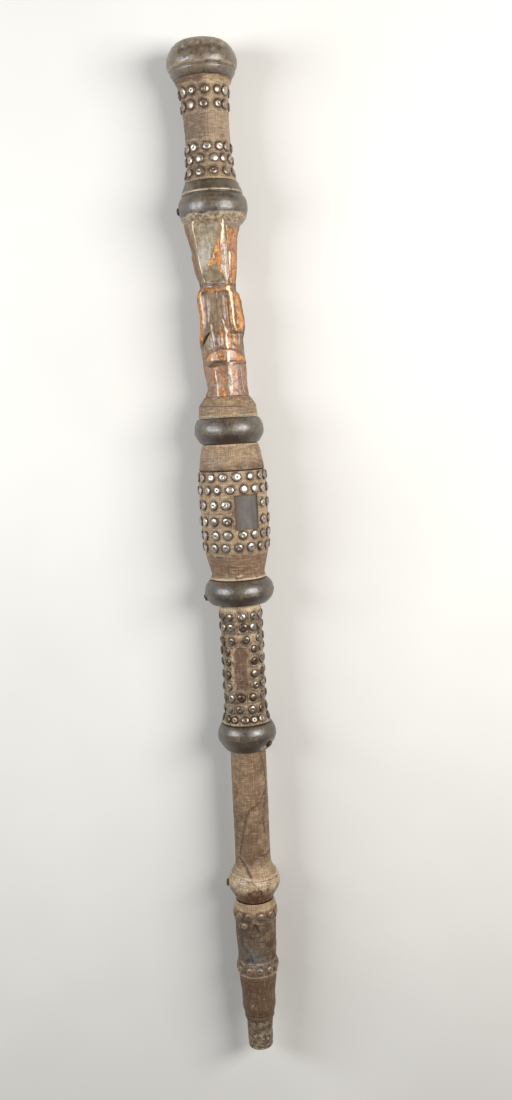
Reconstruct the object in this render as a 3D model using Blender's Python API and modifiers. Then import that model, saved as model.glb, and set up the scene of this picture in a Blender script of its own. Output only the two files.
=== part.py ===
"""A staff of office in carved wood with hide covers and rows of domed tacks.

The staff is shaped upright, with its top at the origin and its front towards -Y, and is then laid down
with its front up and its top towards +Y. Lengths run down the staff, in metres. Angles are in degrees
round its axis, from the front (0) towards the right (90).
"""

from collections import namedtuple
from math import cos, pi, radians, sin

import bmesh
import bpy
from mathutils import Matrix, Vector

# Lengths along the staff, from the top of the pommel to the tip
CAP_LENGTH = 0.0275
CAP_BAND_LENGTH = 0.0078
GRIP_LENGTH = 0.0921
SHOULDER_LENGTH = 0.0119
RING_1_LENGTH = 0.0266
FIGURE_LENGTH = 0.1585
COLLAR_LENGTH = 0.0200
RING_2_LENGTH = 0.0245
NECK_LENGTH = 0.0253
BELLY_LENGTH = 0.1042
RING_3_LENGTH = 0.0250
UPPER_SHAFT_LENGTH = 0.1173
RING_4_LENGTH = 0.0272
SHAFT_LENGTH = 0.1175
RING_5_LENGTH = 0.0363
FOOT_LENGTH = 0.0772
TOE_LENGTH = 0.0475
TIP_LENGTH = 0.0315

# The pommel's dome: how far down it is widest, where its lip turns under, and how square it is
# (2 is an ellipse)
CAP_CREST = 0.0201
CAP_LIP = 0.0253
CAP_FULLNESS = 2.4

# Radii of the carved wood
CAP_RADIUS = 0.0326
CAP_LIP_RADIUS = 0.0318
CAP_GROOVE_RADIUS = 0.0300
CAP_BAND_RADIUS = 0.0304
CAP_BAND_FOOT_RADIUS = 0.0265
SHOULDER_TOP_RADIUS = 0.0245
SHOULDER_FOOT_RADIUS = 0.0286
RING_1_RADIUS = 0.0322
RING_1_FOOT_RADIUS = 0.0280
RING_2_RADIUS = 0.0331
RING_2_EDGE_RADIUS = 0.0278
RING_3_RADIUS = 0.0335
RING_3_EDGE_RADIUS = 0.0265
RING_4_RADIUS = 0.0286
RING_4_EDGE_RADIUS = 0.0220
TIP_RADIUS = 0.0133
TIP_END_RADIUS = 0.0119
TIP_ROUNDING = 0.0018

# Outer radii of the hide covers, without their tacks
GRIP_FLARE_RADIUS = 0.0269
GRIP_TOP_RADIUS = 0.0222
GRIP_WAIST_RADIUS = 0.0207
GRIP_FOOT_RADIUS = 0.0240
COLLAR_TOP_RADIUS = 0.0222
COLLAR_FOOT_RADIUS = 0.0282
NECK_TOP_RADIUS = 0.0264
NECK_FOOT_RADIUS = 0.0312
BELLY_TOP_RADIUS = 0.0313
BELLY_RADIUS = 0.0321
BELLY_WAIST_RADIUS = 0.0256
BELLY_FOOT_RADIUS = 0.0274
UPPER_SHAFT_RADIUS = 0.0194
UPPER_SHAFT_FOOT_RADIUS = 0.0234
SHAFT_RADIUS = 0.0175
RING_5_RADIUS = 0.0262
RING_5_FOOT_RADIUS = 0.0184
FOOT_RADIUS = 0.0202
FOOT_WAIST_RADIUS = 0.0185
WELT_RADIUS = 0.0194
TOE_TOP_RADIUS = 0.0184
TOE_RADIUS = 0.0167
TOE_FOOT_RADIUS = 0.0147

# The hide, its fit on the wood and the window cut in it
HIDE_THICKNESS = 0.0016
HIDE_GAP = 0.0003
WINDOW_LENGTH = 0.0318
WINDOW_WIDTH = 0.0250
WINDOW_TOP = 0.0236
WINDOW_ANGLE = 24

# The figure: half-widths to its left and right as (share of its length, radius), and the core under it
FIGURE_CORE_RADIUS = 0.0120
FIGURE_LEFT = (
    (0.000, 0.0284), (0.080, 0.0257), (0.160, 0.0232), (0.220, 0.0234), (0.290, 0.0214),
    (0.335, 0.0181), (0.362, 0.0182), (0.390, 0.0206), (0.420, 0.0214), (0.540, 0.0202),
    (0.670, 0.0217), (0.750, 0.0208), (0.830, 0.0199), (0.950, 0.0177), (1.000, 0.0205),
)
FIGURE_RIGHT = (
    (0.000, 0.0240), (0.080, 0.0204), (0.160, 0.0195), (0.285, 0.0175), (0.345, 0.0160),
    (0.385, 0.0158), (0.400, 0.0188), (0.500, 0.0208), (0.585, 0.0218), (0.640, 0.0206),
    (0.670, 0.0194), (0.775, 0.0198), (0.800, 0.0209), (0.925, 0.0206), (1.000, 0.0220),
)
HEAD_SHARE = 0.335

# Corners of the head's facets: the angle at its top and at its foot, and how far each stands out
Corner = namedtuple("Corner", "angle_top angle_foot rise")
HEAD_CORNERS = (
    Corner(-140, -140, 0.0),
    Corner(-88, -88, 0.0),
    Corner(-48, -42, 0.0004),
    Corner(12, -36, -0.0002),
    Corner(18, 27, 0.0014),
    Corner(42, 46, -0.0010),
    Corner(64, 64, 0.0006),
    Corner(92, 92, 0.0),
    Corner(145, 145, 0.0),
    Corner(220, 220, 0.0),
)

# Carving on the figure: where it runs (shares), its middle angle at the top and foot, half-width, rise
Carving = namedtuple("Carving", "top foot angle_top angle_foot half_width rise")
CARVINGS = (
    Carving(0.335, 0.365, 0, 0, 180, -0.0010),
    Carving(0.375, 0.680, -58, -60, 13, 0.0008),
    Carving(0.370, 0.600, 40, 28, 8, 0.0016),
    Carving(0.400, 0.640, -13, -13, 27, -0.0024),
    Carving(0.420, 0.620, -12, -12, 5, 0.0010),
    Carving(0.470, 0.690, 12, 9, 6, 0.0014),
    Carving(0.420, 0.570, 55, 52, 6, -0.0010),
    Carving(0.560, 0.610, 46, 46, 10, 0.0012),
    Carving(0.625, 0.650, 38, 38, 22, -0.0012),
    Carving(0.655, 0.715, 34, 34, 14, 0.0010),
    Carving(0.370, 0.690, 145, 150, 14, 0.0014),
    Carving(0.370, 0.690, -140, -146, 14, 0.0014),
    Carving(0.400, 0.640, 182, 182, 22, -0.0014),
    Carving(0.785, 0.815, -20, -20, 22, -0.0024),
    Carving(0.800, 0.820, 180, 180, 60, -0.0010),
    Carving(0.825, 0.970, -26, -24, 14, 0.0008),
    Carving(0.825, 0.970, -3, -2, 7, -0.0008),
    Carving(0.825, 0.970, 19, 20, 14, 0.0008),
    Carving(0.800, 0.950, 50, 50, 7, -0.0012),
    Carving(0.820, 0.970, 178, 178, 8, -0.0010),
)
SOFT_SHARE = 0.012
SOFT_ANGLE = 6

# The band over the lap, whose upper edge arches over this angle and falls away by the angle squared
LAP_TOP = 0.720
LAP_FOOT = 0.800
LAP_RISE = 0.0014
LAP_ANGLE = 4
LAP_CURVE = 1.85e-5

# Shares of the figure's length that its sections are taken at, and how far it is seated in the ring
FIGURE_STATIONS = (
    0.00, 0.10, 0.20, 0.33, 0.35, 0.38, 0.41, 0.50, 0.585, 0.615, 0.638,
    0.665, 0.715, 0.74, 0.785, 0.80, 0.82, 0.94, 1.00,
)
FIGURE_SEAT = 0.0040
FIGURE_SEAT_SHARE = 0.98

# Tacks: a head seated in the hide or the wood, and the even spacing of the rows round the back
TACK_RADIUS = 0.0045
TACK_HEIGHT = 0.0020
TACK_SEAT = 0.0011
TACK_SPREAD = 1.18
TACK_SPACING = 0.0115

# Each row of tacks: its place between the first and the last line on its cover where whole heads fit
# (0 to 1), the angles of its front, and how far it leans down to the right. The sides are filled in
# evenly from the last round to the first, apart from the underside that the staff lies on, which is
# bare this far to each side of the lowest line.
Row = namedtuple("Row", "share angles lean", defaults=(0.0,))
GRIP_ROWS = (
    Row(0.087, (-55, -28, 4, 34, 58)),
    Row(0.238, (-64, -35, -2, 34, 57)),
    Row(0.701, (-62, -38, -2, 30, 54)),
    Row(0.832, (-53, -23, 14, 39, 65)),
    Row(0.975, (-56, -24, 9, 42, 72)),
)
BELLY_ROWS = (
    Row(0.000, (-59, -37, -15, 8, 32, 54, 70)),
    Row(0.129, (-68, -46, -26, -4, 19, 40, 59)),
    Row(0.280, (-60, -35, -13, 57, 76)),
    Row(0.446, (-58, -36, -13, 57, 78)),
    Row(0.590, (-62, -35, -13, 13, 35, 54, 73)),
    Row(0.716, (-67, -41, -18, 5, 27, 48, 68)),
)
UPPER_SHAFT_ROWS = (
    Row(0.050, (-60, -31, 3, 38, 64)),
    Row(0.148, (-57, -29, 6, 34, 62)),
    Row(0.265, (-65, -29, 12, 54), -0.0017),
    Row(0.358, (-48, 35, 64), -0.0015),
    Row(0.466, (-46, 35, 64), -0.0005),
    Row(0.580, (-50, 33, 64), -0.0010),
    Row(0.690, (-49, 35, 62), -0.0014),
    Row(0.796, (-40, -10, 23, 57), -0.0010),
    Row(0.904, (-49, -16, 19, 50)),
    Row(1.000, (-54, -30, -2, 21, 45)),
)
FOOT_ROWS = (
    Row(0.109, (-49, -19, 15, 47, 74)),
    Row(0.970, (-57, -23, 6, 38, 67)),
)
UNDERSIDE = 40

# Single nails: each one's place on its stretch (0 to 1), and its angle
Nail = namedtuple("Nail", "share angle")
RING_1_NAIL = Nail(0.45, -90)
RING_3_NAIL = Nail(0.70, -85)
RING_4_NAIL = Nail(0.75, 55)
RING_5_NAIL = Nail(0.50, -85)
FOOT_NAIL = Nail(0.29, -33)

# How the staff lies: its bow to the right, and the flats that its largest rings rest on
BOW = 0.0058
FLAT_DEPTH = 0.0010

# Sides of the turned wood and covers, of the figure and of a tack, and how far the floor's cut reaches
SIDES = 16
FIGURE_SIDES = 24
TACK_SIDES = 5
FLOOR_CUT = 0.1

# Where each stretch begins, measured down from the top
BAND_TOP = CAP_LENGTH
GRIP_TOP = BAND_TOP + CAP_BAND_LENGTH
SHOULDER_TOP = GRIP_TOP + GRIP_LENGTH
RING_1_TOP = SHOULDER_TOP + SHOULDER_LENGTH
FIGURE_TOP = RING_1_TOP + RING_1_LENGTH
COLLAR_TOP = FIGURE_TOP + FIGURE_LENGTH
RING_2_TOP = COLLAR_TOP + COLLAR_LENGTH
NECK_TOP = RING_2_TOP + RING_2_LENGTH
BELLY_TOP = NECK_TOP + NECK_LENGTH
RING_3_TOP = BELLY_TOP + BELLY_LENGTH
UPPER_SHAFT_TOP = RING_3_TOP + RING_3_LENGTH
RING_4_TOP = UPPER_SHAFT_TOP + UPPER_SHAFT_LENGTH
SHAFT_TOP = RING_4_TOP + RING_4_LENGTH
RING_5_TOP = SHAFT_TOP + SHAFT_LENGTH
FOOT_TOP = RING_5_TOP + RING_5_LENGTH
TOE_TOP = FOOT_TOP + FOOT_LENGTH
TIP_TOP = TOE_TOP + TOE_LENGTH
STAFF_LENGTH = TIP_TOP + TIP_LENGTH

AXIS_HEIGHT = RING_3_RADIUS - FLAT_DEPTH
TACK_REACH = TACK_RADIUS * TACK_SPREAD


# Outlines are lists of (distance down the staff, radius), from the top to the bottom


def stretch(top, length, shares):
    """An outline from (share of the length, radius) pairs."""
    return [(top + length * share, radius) for share, radius in shares]


def bulge(top, length, edge_top, edge_bottom, crest, steps=5):
    """A turned ring: a parabola over its length with a narrow flat crest."""
    low = (steps // 2) / steps
    fullest = low * (1 - low)
    outline = []
    for step in range(steps + 1):
        share = step / steps
        edge = edge_top + (edge_bottom - edge_top) * share
        rise = share * (1 - share) / fullest
        outline.append((top + length * share, edge + rise * (crest - edge)))
    return outline


def cap_outline(steps=6):
    """The pommel's flattened dome, whose lip turns under towards its groove."""
    outline = [(0.0, 0.0)]
    for step in range(1, steps + 1):
        turn = pi / 2 * step / steps
        height = cos(turn) ** (2 / CAP_FULLNESS) if step < steps else 0.0
        outline.append((CAP_CREST * (1 - height), CAP_RADIUS * sin(turn) ** (2 / CAP_FULLNESS)))
    outline.append((CAP_LIP, CAP_LIP_RADIUS))
    outline.append((BAND_TOP, CAP_GROOVE_RADIUS))
    return outline


def grip_outline():
    return stretch(GRIP_TOP, GRIP_LENGTH, (
        (0.00, GRIP_FLARE_RADIUS),
        (0.08, GRIP_TOP_RADIUS + (GRIP_FLARE_RADIUS - GRIP_TOP_RADIUS) * 0.25),
        (0.25, GRIP_WAIST_RADIUS + (GRIP_TOP_RADIUS - GRIP_WAIST_RADIUS) * 0.5),
        (0.60, GRIP_WAIST_RADIUS),
        (0.88, GRIP_WAIST_RADIUS + (GRIP_FOOT_RADIUS - GRIP_WAIST_RADIUS) * 0.25),
        (1.00, GRIP_FOOT_RADIUS),
    ))


def collar_outline():
    return stretch(COLLAR_TOP, COLLAR_LENGTH, (
        (0.00, COLLAR_TOP_RADIUS),
        (0.42, COLLAR_FOOT_RADIUS - (COLLAR_FOOT_RADIUS - COLLAR_TOP_RADIUS) * 0.2),
        (1.00, COLLAR_FOOT_RADIUS),
    ))


def neck_outline():
    return stretch(NECK_TOP, NECK_LENGTH, (
        (0.00, NECK_TOP_RADIUS),
        (0.42, NECK_FOOT_RADIUS - (NECK_FOOT_RADIUS - NECK_TOP_RADIUS) * 0.45),
        (1.00, NECK_FOOT_RADIUS),
    ))


def belly_outline():
    return stretch(BELLY_TOP, BELLY_LENGTH, (
        (0.00, BELLY_TOP_RADIUS),
        (0.18, BELLY_RADIUS),
        (0.45, BELLY_RADIUS),
        (0.71, BELLY_TOP_RADIUS - (BELLY_TOP_RADIUS - BELLY_WAIST_RADIUS) * 0.13),
        (0.85, BELLY_TOP_RADIUS - (BELLY_TOP_RADIUS - BELLY_WAIST_RADIUS) * 0.60),
        (0.95, BELLY_WAIST_RADIUS),
        (1.00, BELLY_FOOT_RADIUS),
    ))


def upper_shaft_outline():
    return stretch(UPPER_SHAFT_TOP, UPPER_SHAFT_LENGTH, (
        (0.00, UPPER_SHAFT_RADIUS),
        (0.86, UPPER_SHAFT_RADIUS),
        (0.94, UPPER_SHAFT_RADIUS + (UPPER_SHAFT_FOOT_RADIUS - UPPER_SHAFT_RADIUS) * 0.3),
        (1.00, UPPER_SHAFT_FOOT_RADIUS),
    ))


def shaft_outline():
    """The plain shaft and the fifth ring, which share one cover."""
    plain = [(SHAFT_TOP, SHAFT_RADIUS)]
    return plain + bulge(RING_5_TOP, RING_5_LENGTH, SHAFT_RADIUS, RING_5_FOOT_RADIUS, RING_5_RADIUS)


def foot_outline():
    return stretch(FOOT_TOP, FOOT_LENGTH, (
        (0.00, FOOT_RADIUS - (FOOT_RADIUS - FOOT_WAIST_RADIUS) * 0.5),
        (0.12, FOOT_RADIUS),
        (0.42, FOOT_RADIUS),
        (0.78, FOOT_WAIST_RADIUS),
        (0.88, WELT_RADIUS),
        (1.00, WELT_RADIUS),
    ))


def toe_outline():
    return stretch(TOE_TOP, TOE_LENGTH, (
        (0.00, TOE_TOP_RADIUS),
        (0.38, TOE_RADIUS),
        (0.70, TOE_RADIUS),
        (0.88, TOE_FOOT_RADIUS + (TOE_RADIUS - TOE_FOOT_RADIUS) * 0.15),
        (1.00, TOE_FOOT_RADIUS),
    ))


def under(cover):
    """The wood beneath a cover."""
    return [(down, radius - HIDE_THICKNESS - HIDE_GAP) for down, radius in cover]


def wood_outline():
    """The whole length of wood, with a plain waist where the figure is carved."""
    return (
        cap_outline()
        + [(BAND_TOP + CAP_BAND_LENGTH * 0.1, CAP_BAND_RADIUS), (GRIP_TOP, CAP_BAND_FOOT_RADIUS)]
        + under(grip_outline())
        + [(SHOULDER_TOP, SHOULDER_TOP_RADIUS), (RING_1_TOP, SHOULDER_FOOT_RADIUS)]
        + bulge(RING_1_TOP, RING_1_LENGTH, SHOULDER_FOOT_RADIUS, RING_1_FOOT_RADIUS, RING_1_RADIUS)[1:]
        + [(FIGURE_TOP, FIGURE_CORE_RADIUS), (COLLAR_TOP, FIGURE_CORE_RADIUS)]
        + under(collar_outline())
        + bulge(RING_2_TOP, RING_2_LENGTH, RING_2_EDGE_RADIUS, RING_2_EDGE_RADIUS, RING_2_RADIUS)
        + under(neck_outline())
        + under(belly_outline())
        + bulge(RING_3_TOP, RING_3_LENGTH, RING_3_EDGE_RADIUS, RING_3_EDGE_RADIUS, RING_3_RADIUS)
        + under(upper_shaft_outline())
        + bulge(RING_4_TOP, RING_4_LENGTH, RING_4_EDGE_RADIUS, RING_4_EDGE_RADIUS, RING_4_RADIUS)
        + under(shaft_outline())
        + under(foot_outline())
        + under(toe_outline())
        + [
            (TIP_TOP, TIP_RADIUS),
            (STAFF_LENGTH - TIP_ROUNDING, TIP_END_RADIUS),
            (STAFF_LENGTH, TIP_END_RADIUS - TIP_ROUNDING),
            (STAFF_LENGTH, 0.0),
        ]
    )


# Solids, shaped upright: x to the right, -y to the front, z up


def at(down, angle, radius):
    """A point at this distance down the staff, angle round it and radius from its axis."""
    turn = radians(angle)
    return Vector((radius * sin(turn), -radius * cos(turn), -down))


def material(name, colour, roughness, metallic=0.0):
    made = bpy.data.materials.new(name)
    made.use_nodes = True
    shader = made.node_tree.nodes["Principled BSDF"]
    shader.inputs["Base Color"].default_value = (*colour, 1)
    shader.inputs["Roughness"].default_value = roughness
    shader.inputs["Metallic"].default_value = metallic
    made.diffuse_color = (*colour, 1)
    return made


def new_object(name, mesh, collection):
    made = bpy.data.objects.new(name, mesh)
    collection.objects.link(made)
    return made


def settle(obj):
    """Makes what the modifiers give the object's own mesh."""
    graph = bpy.context.evaluated_depsgraph_get()
    mesh = bpy.data.meshes.new_from_object(obj.evaluated_get(graph))
    obj.modifiers.clear()
    obj.data = mesh


def turned(name, outline, surface, collection, closed=False):
    """A solid of revolution. A closed outline gives a hollow sleeve."""
    points = [(radius, 0.0, -down) for down, radius in outline]
    edges = [(i, i + 1) for i in range(len(points) - 1)]
    if closed:
        edges.append((len(points) - 1, 0))
    mesh = bpy.data.meshes.new(name)
    mesh.from_pydata(points, edges, [])
    mesh.materials.append(surface)
    obj = new_object(name, mesh, collection)
    screw = obj.modifiers.new("turned", "SCREW")
    screw.steps = screw.render_steps = SIDES
    screw.use_merge_vertices = True
    screw.merge_threshold = 1e-5
    settle(obj)
    shaped = bmesh.new()
    shaped.from_mesh(obj.data)
    bmesh.ops.remove_doubles(shaped, verts=shaped.verts, dist=1e-6)
    shaped.to_mesh(obj.data)
    shaped.free()
    return obj


def sleeve(name, outline, surface, collection):
    """A hide cover: its outline, clear of the wood at both ends and beneath."""
    outer = list(outline)
    outer[0] = (outline[0][0] + HIDE_GAP, outline[0][1])
    outer[-1] = (outline[-1][0] - HIDE_GAP, outline[-1][1])
    inner = [(down, radius - HIDE_THICKNESS) for down, radius in reversed(outer)]
    return turned(name, outer + inner, surface, collection, closed=True)


def combine(obj, other, operation):
    """Joins another object into this one, or cuts it away, and removes the other."""
    joint = obj.modifiers.new(operation.lower(), "BOOLEAN")
    joint.operation = operation
    joint.object = other
    joint.material_mode = "TRANSFER"
    joint.use_self = True
    settle(obj)
    bpy.data.objects.remove(other)


# The carved figure


def between(points, share):
    """Reads a list of (share, value) pairs at a share."""
    for (low, first), (high, second) in zip(points, points[1:]):
        if share <= high:
            return first + (second - first) * max(share - low, 0) / (high - low)
    return points[-1][1]


def window(value, low, high, soft):
    """One between two limits and nothing outside them, with a soft edge."""
    inside = min(value - low, high - value)
    edge = min(max(inside / soft + 0.5, 0), 1)
    return edge * edge * (3 - 2 * edge)


def angle_from(angle, middle):
    """The angle measured from a middle one, between -180 and 180."""
    return (angle - middle + 180) % 360 - 180


def chord(angle, first, second):
    """The radius of the straight line between two corners, each (angle, radius)."""
    (start, near), (end, far) = first, second
    width = sin(radians(end - start))
    return near * far * width / (
        near * sin(radians(angle - start)) + far * sin(radians(end - angle))
    )


def head_radius(share, angle, rounded):
    """The head is an upturned cone of flat facets, with a tall pointed ridge right of its front."""
    down = min(share / HEAD_SHARE, 1)
    corners = []
    for corner in HEAD_CORNERS:
        turn = corner.angle_top + (corner.angle_foot - corner.angle_top) * down
        corners.append((turn, rounded(turn) + corner.rise))
    first_angle = corners[0][0]
    angle = (angle - first_angle) % 360 + first_angle
    for first, second in zip(corners, corners[1:]):
        if angle <= second[0]:
            return chord(angle, first, second)
    return rounded(angle)


def lap_rise(share, angle):
    """A raised band over the lap, whose upper edge is an arch."""
    arch = LAP_TOP + LAP_CURVE * angle_from(angle, LAP_ANGLE) ** 2
    return LAP_RISE * window(share, arch, LAP_FOOT, SOFT_SHARE)


def figure_radius(share, angle):
    left = between(FIGURE_LEFT, share)
    right = between(FIGURE_RIGHT, share)

    def rounded(turn):
        lean = sin(radians(turn))
        return (left * (1 - lean) + right * (1 + lean)) / 2

    radius = rounded(angle)
    if share < HEAD_SHARE:
        radius = head_radius(share, angle, rounded)
    radius += lap_rise(share, angle)
    for cut in CARVINGS:
        along = min(max((share - cut.top) / (cut.foot - cut.top), 0), 1)
        middle = cut.angle_top + (cut.angle_foot - cut.angle_top) * along
        across = window(angle_from(angle, middle), -cut.half_width, cut.half_width, SOFT_ANGLE)
        if cut.half_width >= 180:
            across = 1
        radius += cut.rise * across * window(share, cut.top, cut.foot, SOFT_SHARE)
    return radius


def figure_block(surface, collection):
    """A loft through the figure's sections. Its ends are seated in the first ring and the collar."""
    angles = [360 * side / FIGURE_SIDES - 180 for side in range(FIGURE_SIDES)]
    shaped = bmesh.new()
    rings = []
    for share in FIGURE_STATIONS:
        down = FIGURE_TOP + FIGURE_LENGTH * share
        if share == FIGURE_STATIONS[-1]:
            down -= HIDE_GAP
        rings.append([shaped.verts.new(at(down, a, figure_radius(share, a))) for a in angles])
    seat = FIGURE_TOP - FIGURE_SEAT
    buried = [at(seat, a, figure_radius(0, a) * FIGURE_SEAT_SHARE) for a in angles]
    rings.insert(0, [shaped.verts.new(point) for point in buried])
    for upper, lower in zip(rings, rings[1:]):
        for side in range(FIGURE_SIDES):
            other = (side + 1) % FIGURE_SIDES
            shaped.faces.new((upper[side], lower[side], lower[other], upper[other]))
    shaped.faces.new(rings[0])
    shaped.faces.new(reversed(rings[-1]))
    bmesh.ops.recalc_face_normals(shaped, faces=shaped.faces)
    mesh = bpy.data.meshes.new("figure")
    shaped.to_mesh(mesh)
    shaped.free()
    mesh.materials.append(surface)
    return new_object("figure", mesh, collection)


# Tacks


def row_angles(angles, radius):
    """The row's own angles, and the round of the back filled in evenly."""
    gap = 360 - (angles[-1] - angles[0])
    spaces = max(round(radians(gap) * radius / TACK_SPACING), 1)
    back = [angles[-1] + gap * i / spaces for i in range(1, spaces)]
    return list(angles) + [angle for angle in back if abs(angle - 180) > UNDERSIDE]


def radius_of(outline, down):
    for (low, first), (high, second) in zip(outline, outline[1:]):
        if down <= high:
            return first + (second - first) * (down - low) / (high - low)
    return outline[-1][1]


def slope_of(outline, down):
    """How fast the outline widens down the staff, averaged over a tack's head."""
    above = radius_of(outline, down - TACK_RADIUS)
    below = radius_of(outline, down + TACK_RADIUS)
    return (below - above) / (2 * TACK_RADIUS)


def add_tack(shaped, down, angle, radius, slope):
    """A low faceted dome that stands out of the surface, with its foot seated in it."""
    height = TACK_SEAT + TACK_HEIGHT
    out = Vector((sin(radians(angle)), -cos(radians(angle)), slope)).normalized()
    middle = at(down, angle, radius) + out * (height / 2 - TACK_SEAT)
    upright = out.to_track_quat("Z", "Y").to_matrix().to_4x4()
    side_first = Matrix.Rotation(pi / TACK_SIDES, 4, "Z")
    bmesh.ops.create_cone(
        shaped,
        cap_ends=True,
        segments=TACK_SIDES,
        radius1=TACK_REACH,
        radius2=0,
        depth=height,
        matrix=Matrix.Translation(middle) @ upright @ side_first,
    )


def tacks(places, surface, collection):
    """One object of every tack at these (distance down, angle, radius, slope) places."""
    shaped = bmesh.new()
    for place in places:
        add_tack(shaped, *place)
    bmesh.ops.remove_doubles(shaped, verts=shaped.verts, dist=1e-6)
    mesh = bpy.data.meshes.new("tacks")
    shaped.to_mesh(mesh)
    shaped.free()
    mesh.materials.append(surface)
    return new_object("tacks", mesh, collection)


def place_at(outline, down, angle):
    """Where a tack stands: its distance down, its angle, and the surface's radius and slope."""
    return (down, angle, radius_of(outline, down), slope_of(outline, down))


def nail_place(outline, top, length, nail):
    return place_at(outline, top + length * nail.share, nail.angle)


def on_hide(down, angle):
    """Whether this place on the belly is outside its window."""
    along = down - BELLY_TOP - WINDOW_TOP
    across = BELLY_RADIUS * sin(radians(angle - WINDOW_ANGLE))
    behind = abs(angle_from(angle, WINDOW_ANGLE)) > 90
    return behind or not (0 < along < WINDOW_LENGTH and abs(across) < WINDOW_WIDTH / 2)


def rows_of_tacks(outline, rows):
    """Where each tack of a cover's rows stands."""
    first = outline[0][0] + TACK_REACH + HIDE_GAP
    last = outline[-1][0] - TACK_REACH - HIDE_GAP
    places = []
    for row in rows:
        middle = first + (last - first) * row.share
        for angle in row_angles(row.angles, radius_of(outline, middle)):
            down = middle + row.lean * sin(radians(angle))
            places.append(place_at(outline, down, angle))
    return places


def ring_nails():
    """The single nails in the bare rings."""
    wood = wood_outline()
    return [
        nail_place(wood, RING_1_TOP, RING_1_LENGTH, RING_1_NAIL),
        nail_place(wood, RING_3_TOP, RING_3_LENGTH, RING_3_NAIL),
        nail_place(wood, RING_4_TOP, RING_4_LENGTH, RING_4_NAIL),
    ]


def box(name, low, high, collection):
    """A cutter between two corners, before it is turned or moved."""
    shaped = bmesh.new()
    bmesh.ops.create_cube(shaped, size=1)
    size = Vector(high) - Vector(low)
    middle = (Vector(high) + Vector(low)) / 2
    bmesh.ops.transform(
        shaped, matrix=Matrix.Translation(middle) @ Matrix.Diagonal((*size, 1)), verts=shaped.verts
    )
    mesh = bpy.data.meshes.new(name)
    shaped.to_mesh(mesh)
    shaped.free()
    return new_object(name, mesh, collection)


def floor_cutter(collection):
    """Everything behind this face is cut off, so that the staff lies on flats."""
    return box(
        "floor",
        (-FLOOR_CUT, AXIS_HEIGHT, -STAFF_LENGTH - FLOOR_CUT),
        (FLOOR_CUT, AXIS_HEIGHT + FLOOR_CUT, FLOOR_CUT),
        collection,
    )


def window_cutter(collection):
    """A block from the axis out through the belly's cover, where its window is."""
    cutter = box(
        "window",
        (-WINDOW_WIDTH / 2, -BELLY_RADIUS * 2, -WINDOW_LENGTH),
        (WINDOW_WIDTH / 2, 0, 0),
        collection,
    )
    top = BELLY_TOP + WINDOW_TOP
    place = Matrix.Translation((0, 0, -top)) @ Matrix.Rotation(radians(WINDOW_ANGLE), 4, "Z")
    cutter.data.transform(place)
    return cutter


def covers(hide, tack_metal, collection):
    """Each hide cover, pinned by its tacks."""
    plans = (
        ("grip_cover", grip_outline(), GRIP_ROWS),
        ("collar_cover", collar_outline(), ()),
        ("neck_cover", neck_outline(), ()),
        ("belly_cover", belly_outline(), BELLY_ROWS),
        ("upper_shaft_cover", upper_shaft_outline(), UPPER_SHAFT_ROWS),
        ("shaft_cover", shaft_outline(), ()),
        ("foot_cover", foot_outline(), FOOT_ROWS),
        ("toe_cover", toe_outline(), ()),
    )
    nails = {
        "shaft_cover": nail_place(shaft_outline(), RING_5_TOP, RING_5_LENGTH, RING_5_NAIL),
        "foot_cover": nail_place(foot_outline(), FOOT_TOP, FOOT_LENGTH, FOOT_NAIL),
    }
    made = []
    for name, outline, rows in plans:
        cover = sleeve(name, outline, hide, collection)
        places = rows_of_tacks(outline, rows)
        if name in nails:
            places.append(nails[name])
        if name == "belly_cover":
            combine(cover, window_cutter(collection), "DIFFERENCE")
            places = [place for place in places if on_hide(*place[:2])]
        if places:
            combine(cover, tacks(places, tack_metal, collection), "UNION")
        made.append(cover)
    return made


def bend(obj):
    """Bows the staff to the right, most at the middle of its length."""
    for vertex in obj.data.vertices:
        share = min(max(-vertex.co.z / STAFF_LENGTH, 0), 1)
        vertex.co.x += BOW * sin(pi * share)


def lay_down(objects, collection):
    """Stands the parts on one empty, which lays them on their flats, centred on the origin."""
    across = [vertex.co.x for obj in objects for vertex in obj.data.vertices]
    middle = (min(across) + max(across)) / 2
    lying = new_object("scepter_lying", None, collection)
    lying.rotation_euler = (-pi / 2, 0, 0)
    lying.location = (-middle, STAFF_LENGTH / 2, AXIS_HEIGHT)
    for obj in objects:
        obj.parent = lying


def finish(obj):
    obj.data.shade_smooth()
    obj.data.set_sharp_from_angle(angle=radians(40))


def main():
    for obj in list(bpy.data.objects):
        bpy.data.objects.remove(obj)
    parts = bpy.data.collections.new("scepter")
    bpy.context.scene.collection.children.link(parts)

    wood = material("dark_wood", (0.075, 0.055, 0.042), 0.35)
    hide = material("hide", (0.27, 0.19, 0.12), 0.75)
    tack_metal = material("tack_metal", (0.30, 0.27, 0.24), 0.3, 0.8)

    staff = turned("staff", wood_outline(), wood, parts)
    combine(staff, figure_block(wood, parts), "UNION")
    combine(staff, tacks(ring_nails(), tack_metal, parts), "UNION")
    objects = [staff, *covers(hide, tack_metal, parts)]
    for obj in objects:
        combine(obj, floor_cutter(parts), "DIFFERENCE")
        bend(obj)
    lay_down(objects, parts)
    for obj in objects:
        finish(obj)


main()
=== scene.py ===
"""The looks of a staff of office: carved wood, hide covers and rows of domed tacks.

Every surface is a grid round the staff's axis. A place on it is its distance down the staff from the
top and its angle round the axis, from straight up (0) towards the right (90). Lengths are in metres
where a name doesn't say otherwise; paths and outlines are written in millimetres.
"""

from collections import namedtuple
from math import cos, pi, radians, sin

import bpy
import numpy as np
from mathutils import Matrix, Vector


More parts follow.
